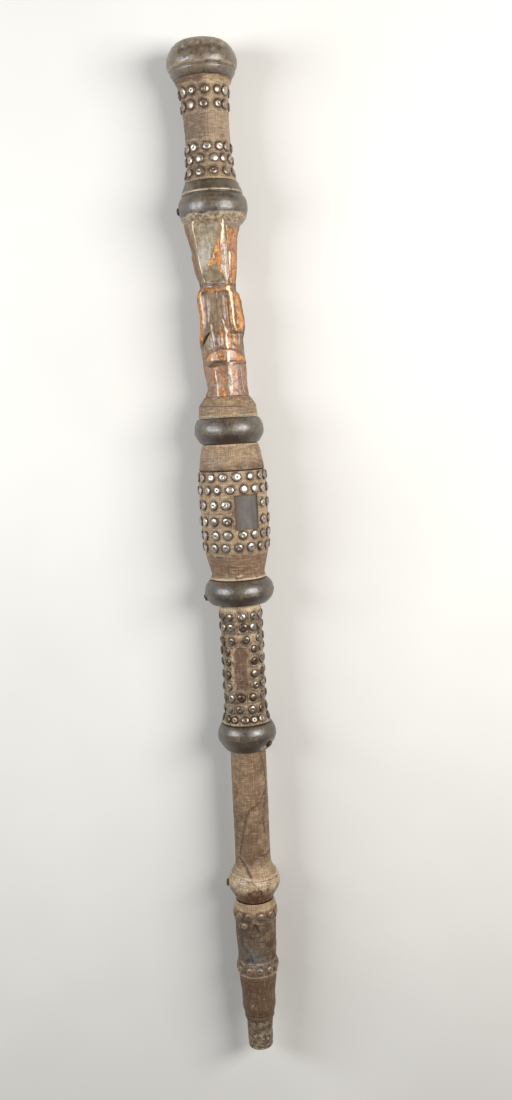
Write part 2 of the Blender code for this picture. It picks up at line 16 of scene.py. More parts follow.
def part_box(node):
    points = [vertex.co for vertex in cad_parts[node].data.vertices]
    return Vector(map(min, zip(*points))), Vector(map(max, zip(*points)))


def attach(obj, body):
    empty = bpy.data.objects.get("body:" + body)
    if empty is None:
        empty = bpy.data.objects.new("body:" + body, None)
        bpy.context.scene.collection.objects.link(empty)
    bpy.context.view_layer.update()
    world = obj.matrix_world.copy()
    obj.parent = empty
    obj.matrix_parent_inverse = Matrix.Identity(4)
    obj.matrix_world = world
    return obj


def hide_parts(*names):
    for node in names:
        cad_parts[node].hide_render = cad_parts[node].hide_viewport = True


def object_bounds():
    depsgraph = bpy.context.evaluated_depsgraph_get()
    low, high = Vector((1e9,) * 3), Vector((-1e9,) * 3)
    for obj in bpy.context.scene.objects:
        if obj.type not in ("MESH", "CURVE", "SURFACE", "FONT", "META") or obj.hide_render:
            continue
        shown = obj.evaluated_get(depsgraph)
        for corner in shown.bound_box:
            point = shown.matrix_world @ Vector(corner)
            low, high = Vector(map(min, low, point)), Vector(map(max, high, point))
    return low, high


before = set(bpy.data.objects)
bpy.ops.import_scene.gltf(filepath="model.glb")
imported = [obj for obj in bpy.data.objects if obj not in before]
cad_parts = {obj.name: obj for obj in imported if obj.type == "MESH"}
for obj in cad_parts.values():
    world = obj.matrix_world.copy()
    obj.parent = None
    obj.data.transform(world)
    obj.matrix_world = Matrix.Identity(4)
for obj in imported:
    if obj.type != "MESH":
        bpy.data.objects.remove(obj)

CAD_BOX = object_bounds()
MM = 0.001

# How the staff lies: its bow to the right, its axis above the floor and left of the middle at its ends
STAFF_LENGTH = CAD_BOX[1][1] - CAD_BOX[0][1]
BOW = 0.0058
AXIS_HEIGHT = 0.0325
AXIS_LEFT = 0.0037

# The hide, its fit on the wood and the window cut in the belly's cover
HIDE_THICKNESS = 0.0016
HIDE_GAP = 0.0003
WINDOW_LENGTH = 0.0318
WINDOW_WIDTH = 0.0250
WINDOW_TOP = 0.0236
WINDOW_ANGLE = 24
WINDOW_MARGIN = 0.004
BELLY_RADIUS = 0.0321

# Lengths that no cover ends at
SHOULDER_LENGTH = 0.0119
RING_1_LENGTH = 0.0412
FIGURE_LENGTH = 0.1585
TIP_ROUNDING = 0.0016

# Tacks
TACK_RADIUS = 0.0045
TACK_REACH = 0.00531
TACK_HEIGHT = 0.0022
TACK_SEAT = 0.0006
TACK_SPACING = 0.0115
TACK_SEGMENTS = 20
NAIL_SIZE = 0.8
SHAFT_NAIL_DOWN = 0.13565
NAIL_TONE = 0.2

# Sizes of the grids' cells, along the staff and round it, and how often a sleeve's inner side has one
CELL = 0.0007
CELL_ROUND = 0.0008
FINE_CELL = 0.0005
RING_CELL = 0.0006
FIGURE_CELL = 0.00055
SHAFT_CELL = 0.00065
RING_COLUMNS = 256
FIGURE_COLUMNS = 264
SHAFT_COLUMNS = 180
TIP_COLUMNS = 120
INNER_STEP = 8

# How far a piece of wood runs on under the next one, and the figure under the first ring
TENON = 0.003
FIGURE_TENON = 0.006

# The camera, found from the staff's outline in the photograph
PHOTO_HEIGHT = 1100
FOCAL_PIXELS = 1150
CAMERA_ABOVE_AXIS = 1.1036
CAMERA_DOWN = 0.3459
CAMERA_SIDE = 0.0190
CAMERA_PITCH = 6.56
CAMERA_ROLL = 3.33
SENSOR_HEIGHT = 36


def span(node):
    """Where a cover's stretch begins and ends, as distances down the staff."""
    low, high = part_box(node)
    return CAD_BOX[1][1] - high.y - HIDE_GAP, CAD_BOX[1][1] - low.y + HIDE_GAP


GRIP = span("grip_cover")
COLLAR = span("collar_cover")
NECK = span("neck_cover")
BELLY = span("belly_cover")
UPPER_SHAFT = span("upper_shaft_cover")
SHAFT = span("shaft_cover")
FOOT = span("foot_cover")
TOE = span("toe_cover")
CAP = (0.0, GRIP[0])
SHOULDER_TOP = GRIP[1]
RING_1_TOP = SHOULDER_TOP + SHOULDER_LENGTH
FIGURE = (COLLAR[0] - FIGURE_LENGTH, COLLAR[0])
RING_2 = (COLLAR[1], NECK[0])
RING_3 = (BELLY[1], UPPER_SHAFT[0])
RING_4 = (UPPER_SHAFT[1], SHAFT[0])
TIP = (TOE[1], STAFF_LENGTH)


# Numbers


def curve_through(points):
    """A smooth function through (place, value) points, which doesn't swing past them."""
    x, y = np.array(points, float).T
    step = np.diff(x)
    slope = np.diff(y) / step
    lean = np.zeros(len(x))
    lean[0], lean[-1] = slope[0], slope[-1]
    for i in range(1, len(x) - 1):
        if slope[i - 1] * slope[i] > 0:
            first = 2 * step[i] + step[i - 1]
            second = step[i] + 2 * step[i - 1]
            lean[i] = (first + second) / (first / slope[i - 1] + second / slope[i])

    def read(at):
        at = np.clip(at, x[0], x[-1])
        i = np.clip(np.searchsorted(x, at, side="right") - 1, 0, len(step) - 1)
        t = (at - x[i]) / step[i]
        start = y[i] * (1 + 2 * t) * (1 - t) ** 2 + lean[i] * step[i] * t * (1 - t) ** 2
        end = y[i + 1] * t ** 2 * (3 - 2 * t) + lean[i + 1] * step[i] * t ** 2 * (t - 1)
        return start + end

    return read


def outline(top, points):
    """The radius at each distance down the staff, from (mm below the stretch's top, mm radius) points."""
    return curve_through([(top + down * MM, radius * MM) for down, radius in points])


def smooth(value, low, high):
    """Nought below one limit and one above the other, with a soft passage."""
    t = np.clip((value - low) / (high - low), 0, 1)
    return t * t * (3 - 2 * t)


def inside(value, low, high, soft):
    """One between two limits, with a soft edge of this width."""
    return smooth(np.minimum(value - low, high - value), -soft / 2, soft / 2)


def hump(value):
    """One at nought, falling away smoothly by about one on either side."""
    return np.exp(-value ** 2)


def turn_from(angle, middle):
    """The angle measured from a middle one, between -180 and 180."""
    return (angle - middle + 180) % 360 - 180


def noise(places, size, seed, octaves):
    """Smooth noise between about -1 and 1, whose largest waves are this size."""
    table = np.random.default_rng(seed).uniform(-1, 1, (32, 32, 32))
    total = 0
    reach = 0
    for octave in range(octaves):
        scaled = places * (2 ** octave / size) + 5.7 * octave
        cell = np.floor(scaled).astype(int)
        part = scaled - cell
        part = part * part * (3 - 2 * part)
        value = 0
        for corner in np.ndindex(2, 2, 2):
            weight = 1
            index = []
            for axis in range(3):
                weight = weight * (part[..., axis] if corner[axis] else 1 - part[..., axis])
                index.append((cell[..., axis] + corner[axis]) % 32)
            value = value + weight * table[tuple(index)]
        total = total + value / 2 ** octave
        reach += 1 / 2 ** octave
    return total / reach * 1.6


def soften(values, reach):
    """Averages a grid over this many cells to each side."""
    shifts = range(-reach, reach + 1)
    values = sum(np.roll(values, shift, axis=1) for shift in shifts) / len(shifts)
    padded = np.pad(values, ((reach, reach), (0, 0)), mode="edge")
    rows = len(values)
    return sum(padded[shift + reach:shift + reach + rows] for shift in shifts) / len(shifts)


def axis_x(down):
    return BOW * np.sin(pi * down / STAFF_LENGTH) - AXIS_LEFT


def lay(down, angle, radius):
    """Points in the row frame for places on the staff. Nothing goes below the floor."""
    turn = np.radians(angle)
    x = axis_x(down) + radius * np.sin(turn)
    y = CAD_BOX[1][1] - down + 0 * turn
    z = np.maximum(AXIS_HEIGHT + radius * np.cos(turn), 0)
    return np.stack(np.broadcast_arrays(x, y, z), axis=-1)


# Surfaces


class Surface:
    """A grid round the staff: each point's distance down it, angle, radius and colour masks."""

    def __init__(self, downs, radius_at, columns=None):
        widest = radius_at(downs).max()
        self.columns = columns or int(round(2 * pi * widest / CELL_ROUND / 4)) * 4
        angles = np.arange(self.columns) * 360 / self.columns - 180
        self.down, self.angle = np.meshgrid(downs, angles, indexing="ij")
        self.radius_at = radius_at
        self.base = radius_at(self.down)
        self.rise = np.zeros_like(self.base)
        self.masks = {}
        self.tacks = ()

    def noise(self, size, seed, stretch=(1, 1, 1), octaves=3):
        """Noise over the surface, without the staff's bow. Stretch below one draws it out along an axis."""
        turn = np.radians(self.angle)
        places = np.stack((self.base * np.sin(turn), self.down, self.base * np.cos(turn)), axis=-1)
        return noise(places * stretch, size, seed, octaves)

    def spots(self, size, seed, low, high, stretch=(1, 1, 1)):
        """Patches: nought where the noise is below one level and one where it is above the other."""
        return smooth(self.noise(size, seed, stretch), low, high)

    def band(self, low, high, soft):
        """The stretch between two distances down the staff, in mm."""
        return inside(self.down / MM, low, high, soft)

    def sector(self, low, high, soft):
        """The part between two angles."""
        return inside(self.angle, low, high, soft)

    def across(self, angle):
        """How far each point is from a line down the staff at an angle, round the surface."""
        return np.radians(turn_from(self.angle, angle)) * self.base

    def runs(self, path):
        """Each point's distance from each straight run of a path, and its share of the way along that run.
        A path is (mm down, angle) places; more numbers in a place are left alone."""
        for (down, angle, *_), (next_down, next_angle, *_) in zip(path, path[1:] or path):
            along = self.down - down * MM
            across = self.across(angle)
            run = (next_down - down) * MM
            sweep = np.radians(next_angle - angle) * self.base
            share = np.clip((along * run + across * sweep) / (run ** 2 + sweep ** 2 + 1e-12), 0, 1)
            yield np.hypot(along - share * run, across - share * sweep), share

    def near(self, path):
        """How far each point is from a path, in millimetres."""
        return np.minimum.reduce([gap for gap, share in self.runs(path)]) / MM

    def patch(self, down, angle, half_length, half_width):
        """A soft oval round a place, with its half-sizes in mm."""
        along = (self.down - down * MM) / (half_length * MM)
        return hump(np.hypot(along, self.across(angle) / (half_width * MM)))

    def stroke(self, path, soft):
        """A form drawn through (mm down, angle, half width in mm) places: one inside, falling to none over
        this share of its half width."""
        shape = np.zeros_like(self.base)
        for (gap, share), (*_, width), (*_, next_width) in zip(self.runs(path), path, path[1:]):
            half = width + (next_width - width) * share
            shape = np.maximum(shape, smooth((half - gap / MM) / (soft * half), 0, 1))
        return shape

    def lift(self, height):
        """Raises the surface by this many millimetres, or lowers it."""
        self.rise += height * MM

    def mark(self, name, *amounts):
        """Lays masks over what is already marked under that name."""
        for amount in amounts:
            self.masks[name] = np.clip(np.maximum(self.masks.get(name, 0), amount), 0, 1)

    def line(self, path, width, rise, mask, amount):
        """A ridge (or a groove, where the rise is negative) along a path, and a mask on it."""
        shape = hump(self.near(path) / width)
        self.lift(rise * shape)
        self.mark(mask, amount * shape)

    def lines(self, *table):
        for path, *cut in table:
            self.line(path, *cut)


def wavy(down, swing, rate, step, shift=0):
    """A path round the staff at a distance down it in mm, which wanders up and down."""
    return [(down + swing * sin(rate * angle + shift), angle) for angle in range(-180, 181, step)]


def even_downs(top, foot, cell=CELL):
    return np.linspace(top, foot, max(int(round((foot - top) / cell)), 3) + 1)


def grid_faces(rows, columns, loop=False):
    """Quads between the rings of a grid, facing out. With loop, the last ring joins the first."""
    upper = np.arange(rows if loop else rows - 1)[:, None] * columns
    lower = (np.arange(rows if loop else rows - 1)[:, None] + 1) % rows * columns
    column = np.arange(columns)[None]
    beside = (column + 1) % columns
    return np.stack((upper + column, lower + column, lower + beside, upper + beside), -1).reshape(-1, 4)


def mesh_object(name, points, faces, material, masks, wrap=None):
    """An object of this mesh, with a number for each point and mask. Wrap is the flattened place of each
    face's corners, in metres round and along the staff."""
    mesh = bpy.data.meshes.new(name)
    mesh.from_pydata(points.tolist(), [], faces)
    for mask, values in masks.items():
        attribute = mesh.attributes.new(mask, "FLOAT", "POINT")
        attribute.data.foreach_set("value", np.asarray(values, np.float32).ravel())
    if wrap is not None:
        attribute = mesh.attributes.new("wrap", "FLOAT_VECTOR", "CORNER")
        flat = np.zeros((len(mesh.loops), 3), np.float32)
        flat[:len(wrap)] = wrap
        attribute.data.foreach_set("vector", flat.ravel())
    mesh.materials.append(material)
    mesh.shade_smooth()
    made = bpy.data.objects.new(name, mesh)
    bpy.context.scene.collection.objects.link(made)
    return made


def flattened(surface, rows, quads):
    """The flattened place of each quad's corners, kept in order across the seam underneath."""
    columns = surface.columns
    row = quads // columns
    column = quads % columns
    column[:, 2:][column[:, 2:] == 0] = columns
    width = 2 * pi * surface.base.mean() / columns
    flat = np.zeros((*quads.shape, 3))
    flat[..., 0] = (column - columns / 2) * width
    flat[..., 1] = rows[row]
    return flat.reshape(-1, 3)


def solid(name, surface, material):
    """A closed piece of wood: the surface and its two ends."""
    rows, columns = surface.base.shape
    points = lay(surface.down, surface.angle, surface.base + surface.rise).reshape(-1, 3)
    quads = grid_faces(rows, columns)
    wrap = flattened(surface, surface.down[:, 0], quads.copy())
    top_end = list(range(columns))
    foot_end = list(range((rows - 1) * columns, rows * columns))[::-1]
    return mesh_object(name, points, quads.tolist() + [top_end, foot_end], material, surface.masks, wrap)


def sleeve(name, surface, material, opening=None):
    """A closed hide cover: the surface, an inner side and both edges. Opening marks the cells cut out."""
    rows, columns = surface.base.shape
    step = 1 if opening is not None else INNER_STEP
    kept = sorted({*range(0, rows, step), rows - 1}, reverse=True)
    order = list(range(rows)) + kept
    radius = np.concatenate((surface.base + surface.rise, surface.base[kept] - HIDE_THICKNESS))
    down = surface.down[order]
    points = lay(down, surface.angle[order], radius).reshape(-1, 3)
    masks = {mask: values[order] for mask, values in surface.masks.items()}
    quads = grid_faces(len(order), columns, loop=True)
    if opening is not None:
        quads = cut_opening(quads, opening, rows, columns)
    wrap = flattened(surface, down[:, 0], quads.copy())
    return mesh_object(name, points, quads.tolist(), material, masks, wrap)


def cut_opening(quads, opening, rows, columns):
    """Leaves out the opening's cells, outside and inside, and closes its walls through the hide."""
    total = 2 * rows
    row = quads[:, 0] // columns
    column = quads[:, 0] % columns
    faces_out = row < rows - 1
    faces_in = (row >= rows) & (row < total - 1)
    cell_row = np.where(faces_out, row, total - 2 - row)
    cut = np.zeros(len(quads), bool)
    both = faces_out | faces_in
    cut[both] = opening[cell_row[both], column[both]]
    walls = []
    for i, j in zip(*np.nonzero(opening)):
        beside = (j + 1) % columns
        corners = {
            "top": ((i, j), (i, beside)),
            "foot": ((i + 1, beside), (i + 1, j)),
            "left": ((i + 1, j), (i, j)),
            "right": ((i, beside), (i + 1, beside)),
        }
        neighbours = {"top": (i - 1, j), "foot": (i + 1, j), "left": (i, j - 1), "right": (i, beside)}
        for side, (first, second) in corners.items():
            if opening[neighbours[side]]:
                continue
            outer = [r * columns + c for r, c in (first, second)]
            inner = [(total - 1 - r) * columns + c for r, c in (second, first)]
            walls.append(outer[::-1] + inner[::-1])
    return np.concatenate((quads[~cut], np.array(walls)))


# Tacks, in the rows of the solids. The sides and back are filled in evenly.

Row = namedtuple("Row", "share angles lean", defaults=(0.0,))
GRIP_ROWS = (
    Row(0.087, (-55, -28, 4, 34, 58)),
    Row(0.238, (-64, -35, -2, 34, 57)),
    Row(0.701, (-62, -38, -2, 30, 54)),
    Row(0.832, (-53, -23, 14, 39, 65)),
    Row(0.975, (-56, -24, 9, 42, 72)),
)
BELLY_ROWS = (
    Row(0.000, (-59, -37, -15, 8, 32, 54, 70)),
    Row(0.129, (-68, -46, -26, -4, 19, 40, 59)),
    Row(0.280, (-60, -35, -13, 57, 76)),
    Row(0.446, (-58, -36, -13, 57, 78)),
    Row(0.590, (-62, -35, -13, 13, 35, 54, 73)),
    Row(0.716, (-67, -41, -18, 5, 27, 48, 68)),
)
UPPER_SHAFT_ROWS = (
    Row(0.050, (-60, -31, 3, 38, 64)),
    Row(0.148, (-57, -29, 6, 34, 62)),
    Row(0.265, (-65, -29, 12, 54), -0.0017),
    Row(0.358, (-48, 35, 64), -0.0015),
    Row(0.466, (-46, 35, 64), -0.0005),
    Row(0.580, (-50, 33, 64), -0.0010),
    Row(0.690, (-49, 35, 62), -0.0014),
    Row(0.796, (-40, -10, 23, 57), -0.0010),
    Row(0.904, (-49, -16, 19, 50)),
    Row(1.000, (-54, -30, -2, 21, 45)),
)
FOOT_ROWS = (
    Row(0.109, (-49, -19, 15, 47, 74)),
    Row(0.970, (-57, -23, 6, 38, 67)),
)
Tack = namedtuple("Tack", "down angle size")


def stays_up(angle, radius):
    """Whether a tack at this place clears the floor."""
    return AXIS_HEIGHT + (radius + TACK_HEIGHT) * cos(radians(angle)) > 0


def rows_of_tacks(surface, stretch, rows):
    """The tacks of a cover: its rows run from one end to the other, in shares of the way."""
    first = stretch[0] + TACK_REACH + HIDE_GAP
    last = stretch[1] - TACK_REACH - HIDE_GAP
    tacks = []
    for row in rows:
        middle = first + (last - first) * row.share
        radius = float(surface.radius_at(middle))
        gap = 360 - (row.angles[-1] - row.angles[0])
        spaces = max(round(radians(gap) * radius / TACK_SPACING), 1)
        back = [row.angles[-1] + gap * i / spaces for i in range(1, spaces)]
        for angle in (*row.angles, *back):
            if stays_up(angle, radius):
                tacks.append(Tack(middle + row.lean * sin(radians(angle)), angle, 1.0))
    return tacks


def tack_heads(name, tacks, radius_at, seed, tone, soil=0.0):
    """Domed heads with a rolled rim, each a little different, many with a pit in the middle. Tone runs
    from 0, dark, to 1, bright; soil says how much of the hide's dirt covers them."""
    chance = np.random.default_rng(seed)
    rings = np.array((1.0, 0.97, 0.90, 0.80, 0.67, 0.54, 0.42, 0.31, 0.22, 0.14, 0.06))
    turn = np.arange(TACK_SEGMENTS) * 2 * pi / TACK_SEGMENTS
    points = []
    faces = []
    masks = {"pit": [], "rim": [], "tone": [], "soil": []}
    for tack in tacks:
        radius = float(radius_at(tack.down))
        spread = TACK_RADIUS * 0.9
        slope = float(radius_at(tack.down + spread) - radius_at(tack.down - spread)) / (2 * spread)
        size = tack.size * chance.uniform(0.92, 1.06)
        pit = chance.uniform(0.28, 0.60) * (chance.random() < 0.66)
        pit_width = chance.uniform(0.16, 0.27)
        lean = chance.uniform(-0.07, 0.07, 2)
        height = np.sqrt(np.maximum(1.02 - rings ** 2, 0)) * TACK_HEIGHT * chance.uniform(0.85, 1.05)
        height = height - pit * MM * hump(rings / pit_width) - 0.12 * MM * hump(rings / 0.45)
        x = np.outer(rings, np.cos(turn)) * TACK_RADIUS * size
        y = np.outer(rings, np.sin(turn)) * TACK_RADIUS * size * chance.uniform(0.94, 1.0)
        wave = chance.uniform(0, 2 * pi, 2)
        dents = 0.035 * MM * (np.sin(2 * turn + wave[0]) + np.sin(3 * turn + wave[1])) * rings[:, None]
        z = np.repeat(height[:, None], TACK_SEGMENTS, axis=1) + dents
        z[0] = -TACK_SEAT
        around = np.radians(tack.angle)
        out = Vector((sin(around), slope, cos(around))).normalized()
        out = (out + Vector((lean[0], lean[1], 0))).normalized()
        seat = Vector(lay(tack.down, tack.angle, radius))
        place = Matrix.Translation(seat) @ out.to_track_quat("Z", "Y").to_matrix().to_4x4()
        local = np.stack((x, y, z, np.ones_like(x)), -1).reshape(-1, 4)
        start = sum(len(part) for part in points)
        placed = (np.array(place) @ local.T).T[:, :3]
        placed[:, 2] = np.maximum(placed[:, 2], 0)
        points.append(placed)
        quads = grid_faces(len(rings), TACK_SEGMENTS)[:, ::-1] + start
        faces += quads.tolist()
        faces.append([start + i for i in range(TACK_SEGMENTS)][::-1])
        faces.append([start + (len(rings) - 1) * TACK_SEGMENTS + i for i in range(TACK_SEGMENTS)])
        deep = hump(rings / (pit_width * 0.8)) * (pit > 0)
        masks["pit"].append(np.repeat(deep, TACK_SEGMENTS))
        # The rim mask darkens the dome's sloping side as painted shade
        masks["rim"].append(np.repeat(smooth(rings, 0.58, 0.95), TACK_SEGMENTS))
        masks["tone"].append(np.full(len(local), tone + chance.uniform(-0.25, 0.25)))
        masks["soil"].append(np.full(len(local), soil))
    masks = {mask: np.concatenate(values) for mask, values in masks.items()}
    return mesh_object(name, np.concatenate(points), faces, METAL, masks)


def press_tacks(surface, tacks, swell=0.35, stain=0.3, valley=0.0):
    """Drives a cover's tacks in: the hide is drawn down at each one's rim, darkened there by painted shade,
    and swollen and rubbed pale round it. Valley is how deep it is halfway between two tacks, and how dark the
    painted shade there is."""
    surface.tacks = tacks
    nearest = np.full_like(surface.rise, np.inf)
    second = nearest
    for tack in tacks:
        gap = surface.near([(tack.down / MM, tack.angle)])
        surface.lift(-0.20 * hump((gap - 4.5) / 0.6))
        second = np.minimum(second, np.maximum(nearest, gap))
        nearest = np.minimum(nearest, gap)
        surface.mark("stain", stain * hump(gap / 9.0))
    # Painted shade round each tack's rim
    surface.mark("crevice_shade", 0.85 * hump(np.maximum(nearest - 4.3, 0) / (1.5 + 0.5 * valley)))
    surface.mark("pale", 0.38 * smooth(nearest, 5.2, 6.4) * (1 - smooth(nearest, 7.5, 10.5)))
    surface.lift(swell * hump(np.maximum(nearest - 4.8, 0) / 3.2))
    uneven = surface.noise(0.005, 191)
    # Painted shade and a dip halfway between neighbouring tacks
    between = hump((second - nearest + 0.6 * uneven) / 1.6) * (1 - smooth(nearest, 6.5, 8.0))
    between = valley * between * smooth(uneven, -0.7, 0.2)
    surface.lift(-0.7 * between)
    surface.mark("dark", 0.85 * between)


# Materials


def srgb(red, green, blue):
    """A colour as it is seen on a screen, 0 to 255, in the renderer's own terms."""
    parts = np.array((red, green, blue)) / 255
    linear = np.where(parts <= 0.04045, parts / 12.92, ((parts + 0.055) / 1.055) ** 2.4)
    return (*linear.tolist(), 1.0)


class Recipe:
    """A material's nodes. A method gives a socket that others can use, or lays colour or relief over what
    there is. A colour is a socket, or red, green and blue as seen on a screen, from 0 to 255."""

    def __init__(self, name):
        self.made = bpy.data.materials.new(name)
        self.made.use_nodes = True
        self.tree = self.made.node_tree
        self.space = self.add("TexCoord").outputs["Object"]
        self.wrap = self.add("Attribute", attribute_name="wrap").outputs["Vector"]
        self.base = None
        self.normal = None

    def put(self, socket, value):
        if isinstance(value, bpy.types.NodeSocket):
            self.tree.links.new(value, socket)
        else:
            socket.default_value = value

    def add(self, kind, inputs=(), **settings):
        node = self.tree.nodes.new("ShaderNode" + kind)
        for name, value in settings.items():
            setattr(node, name, value)
        for name, value in dict(inputs).items():
            self.put(node.inputs[name], value)
        return node

    def mask(self, name):
        return self.add("Attribute", attribute_name=name).outputs["Fac"]

    def noise(self, size, detail, stretch=(1, 1, 1), roughness=0.55, distortion=0.0, space=None):
        """Noise with its waves this size in metres. Stretch below one draws it out along an axis."""
        place = self.add("Mapping", {"Vector": space or self.space, "Scale": stretch}).outputs[0]
        return self.add("TexNoise", {
            "Vector": place, "Scale": 1 / size, "Detail": detail,
            "Roughness": roughness, "Distortion": distortion,
        }).outputs[0]

    def spots(self, size, detail, low, high, least=0.0, most=1.0, **settings):
        """Noise, with the range from low to high mapped softly to another."""
        return self.within(self.noise(size, detail, **settings), low, high, least, most)

    def scales(self, width, length):
        """Small uneven scales round the staff, one at their joints. Sizes are in millimetres."""
        drift = self.add("TexNoise", {"Vector": self.space, "Scale": 220.0, "Detail": 3.0}).outputs[1]
        shift = self.add("VectorMath", {0: drift, 1: (0.002, 0.002, 0.002)}, operation="MULTIPLY").outputs[0]
        place = self.add("VectorMath", {0: self.wrap, 1: shift}, operation="ADD").outputs[0]
        fit = (1 / width / MM, 1 / length / MM, 1)
        place = self.add("Mapping", {"Vector": place, "Scale": fit}).outputs[0]
        cells = {"Vector": place, "Scale": 1.0, "Randomness": 0.6}
        cell = self.add("TexVoronoi", cells, voronoi_dimensions="2D", feature="DISTANCE_TO_EDGE")
        return self.within(cell.outputs["Distance"], 0.02, 0.20, 1, 0)

    def sum(self, first, second, operation="ADD"):
        return self.add("Math", {0: first, 1: second}, operation=operation).outputs[0]

    def times(self, first, second):
        return self.sum(first, second, "MULTIPLY")

    def within(self, value, low, high, least=0.0, most=1.0):
        """Maps a value's range softly to another."""
        return self.add("MapRange", {
            "Value": value, "From Min": low, "From Max": high, "To Min": least, "To Max": most,
        }, interpolation_type="SMOOTHSTEP").outputs[0]

    def mix(self, share, first, second):
        """One colour where the share is nought and another where it is one."""
        node = self.add("Mix", data_type="RGBA")
        for place, value in ((0, share), (6, first), (7, second)):
            self.put(node.inputs[place], srgb(*value) if isinstance(value, tuple) else value)
        return node.outputs[2]

    def tint(self, share, colour):
        """Lays this share of a colour over the base."""
        self.base = self.mix(share, self.base, colour)

    def bump(self, height, distance):
        """Lays relief of this depth over what there is."""
        inputs = {"Height": height, "Distance": distance}
        if self.normal:
            inputs["Normal"] = self.normal
        self.normal = self.add("Bump", inputs).outputs[0]

    def finish(self, **inputs):
        """Gives the shader its base, its relief and these inputs."""
        inputs["Base_Color"] = self.base
        if self.normal:
            inputs["Normal"] = self.normal
        shader = self.tree.nodes["Principled BSDF"]
        for name, value in inputs.items():
            self.put(shader.inputs[name.replace("_", " ")], value)
        return self.made


def dark_wood():
    """Hard dark wood polished by hands, with a grey bloom and a crust where it was never rubbed."""
    m = Recipe("dark_wood")
    cloud = m.spots(0.016, 5, 0.36, 0.64, distortion=0.6)
    fine = m.noise(0.0016, 6, stretch=(1, 0.35, 1), roughness=0.7)
    streak = m.noise(0.0013, 5, stretch=(0.10, 1, 1), space=m.wrap)
    m.base = m.mix(cloud, (50, 39, 27), (78, 66, 47))
    m.tint(m.spots(0.009, 4, 0.48, 0.70, 0, 0.5), (101, 94, 76))
    m.tint(m.spots(0.0045, 5, 0.50, 0.70, 0, 0.6), (100, 74, 48))
    m.tint(m.spots(0.0022, 5, 0.56, 0.68, 0, 0.4), (120, 108, 92))
    m.tint(m.within(streak, 0.50, 0.66, 0, 0.50), (44, 34, 24))
    m.tint(m.within(fine, 0.49, 0.63, 0, 0.60), (42, 32, 22))
    # Dark speckles, and painted shade in grooves, where a cover overlaps the wood, and on the rings' lower
    # halves
    m.tint(m.times(m.mask("grime_and_shade"), 0.85), (42, 29, 19))
    earth = m.mix(m.spots(0.0036, 5, 0.38, 0.62), (102, 84, 62), (160, 139, 112))
    earth = m.mix(m.spots(0.0028, 6, 0.50, 0.66, 0, 0.75, roughness=0.7), earth, (60, 46, 33))
    earth = m.mix(m.spots(0.0017, 4, 0.60, 0.68, 0, 0.6), earth, (186, 170, 144))
    crust = m.within(m.sum(m.mask("crust"), m.times(m.noise(0.004, 5), 0.6)), 0.50, 1.0)
    m.tint(crust, earth)
    m.tint(m.times(m.mask("pale"), m.spots(0.004, 4, 0.3, 0.5)), (176, 152, 120))
    sheen = m.spots(0.004, 6, 0.35, 0.65, 0.30, 0.52, roughness=0.65)
    rough = m.sum(sheen, m.times(crust, 0.30))
    m.bump(m.sum(fine, m.noise(0.0013, 4)), 0.00018)
    m.bump(m.times(crust, m.noise(0.0026, 6, roughness=0.7)), 0.0007)
    m.bump(m.noise(0.006, 3), 0.00018)
    return m.finish(Roughness=rough, Coat_Weight=0.55, Coat_Roughness=0.34, Specular_IOR_Level=0.7)


def hide_material(name, across, along, scale, blotch):
    """Thin dried hide with small scales, stained by handling and round the tacks, with painted shade round
    the tacks and in its creases. Across and along say how strongly its fine lines show in each direction;
    scale is a scale's width and length in millimetres."""
    m = Recipe(name)
    scales = m.scales(*scale)
    rings = m.noise(0.0014, 5, stretch=(0.14, 1, 1), space=m.wrap, roughness=0.6)
    lengths = m.noise(0.0017, 5, stretch=(1, 0.16, 1), space=m.wrap, roughness=0.6)
    cloud = m.spots(0.022, 5, 0.34, 0.66, distortion=0.5)
    mottle = m.spots(0.0046, 6, 0.36, 0.64, roughness=0.68)
    m.base = m.mix(cloud, (146, 123, 94), (178, 154, 121))
    m.tint(m.times(mottle, blotch), (122, 94, 68))
    m.tint(m.spots(0.011, 4, 0.48, 0.70, 0, 0.55), (170, 134, 98))
    dark = m.within(m.sum(m.mask("stain"), m.times(m.noise(0.005, 6), 0.8)), 0.45, 1.30)
    m.tint(dark, (84, 60, 39))
    m.tint(m.times(m.mask("blue"), 0.85), (92, 94, 93))
    m.tint(m.times(m.mask("red"), m.within(mottle, 0.0, 0.8, 0.5, 1)), (112, 66, 42))
    m.tint(m.mask("grey"), (138, 126, 111))
    cream = m.within(m.sum(m.mask("pale"), m.times(m.noise(0.0032, 6), 0.6)), 0.42, 1.25)
    m.tint(cream, (205, 182, 150))
    # Painted shade round the tacks and in the creases between their rows
    m.tint(m.times(m.mask("crevice_shade"), m.within(mottle, 0, 1, 0.45, 0.95)), (66, 46, 31))
    m.tint(m.within(rings, 0.50, 0.64, 0, across), (92, 70, 50))
    m.tint(m.within(rings, 0.36, 0.48, across * 0.75, 0), (198, 176, 146))
    m.tint(m.within(lengths, 0.50, 0.64, 0, along), (94, 70, 49))
    m.tint(m.within(lengths, 0.36, 0.48, along * 0.6, 0), (190, 166, 134))
    joints = m.times(scales, m.spots(0.012, 3, 0.3, 0.6, 0.2, 0.6))
    m.tint(joints, (86, 64, 44))
    # Dark seams and spots, and painted shade in creases, cracks, between tacks and where a cover meets the
    # next piece
    m.tint(m.mask("dark"), (30, 21, 15))
    rough = m.sum(m.spots(0.008, 4, 0.3, 0.7, 0.44, 0.62), m.times(m.mask("gloss"), -0.28))
    lines = m.sum(m.times(rings, -2.2 * across), m.times(lengths, -2.2 * along))
    relief = m.sum(m.times(scales, -0.8), lines)
    m.bump(m.sum(m.noise(0.0011, 5, roughness=0.7), relief), 0.00022)
    m.bump(m.noise(0.004, 4), 0.0005)
    return m.finish(Roughness=rough, Specular_IOR_Level=0.5)


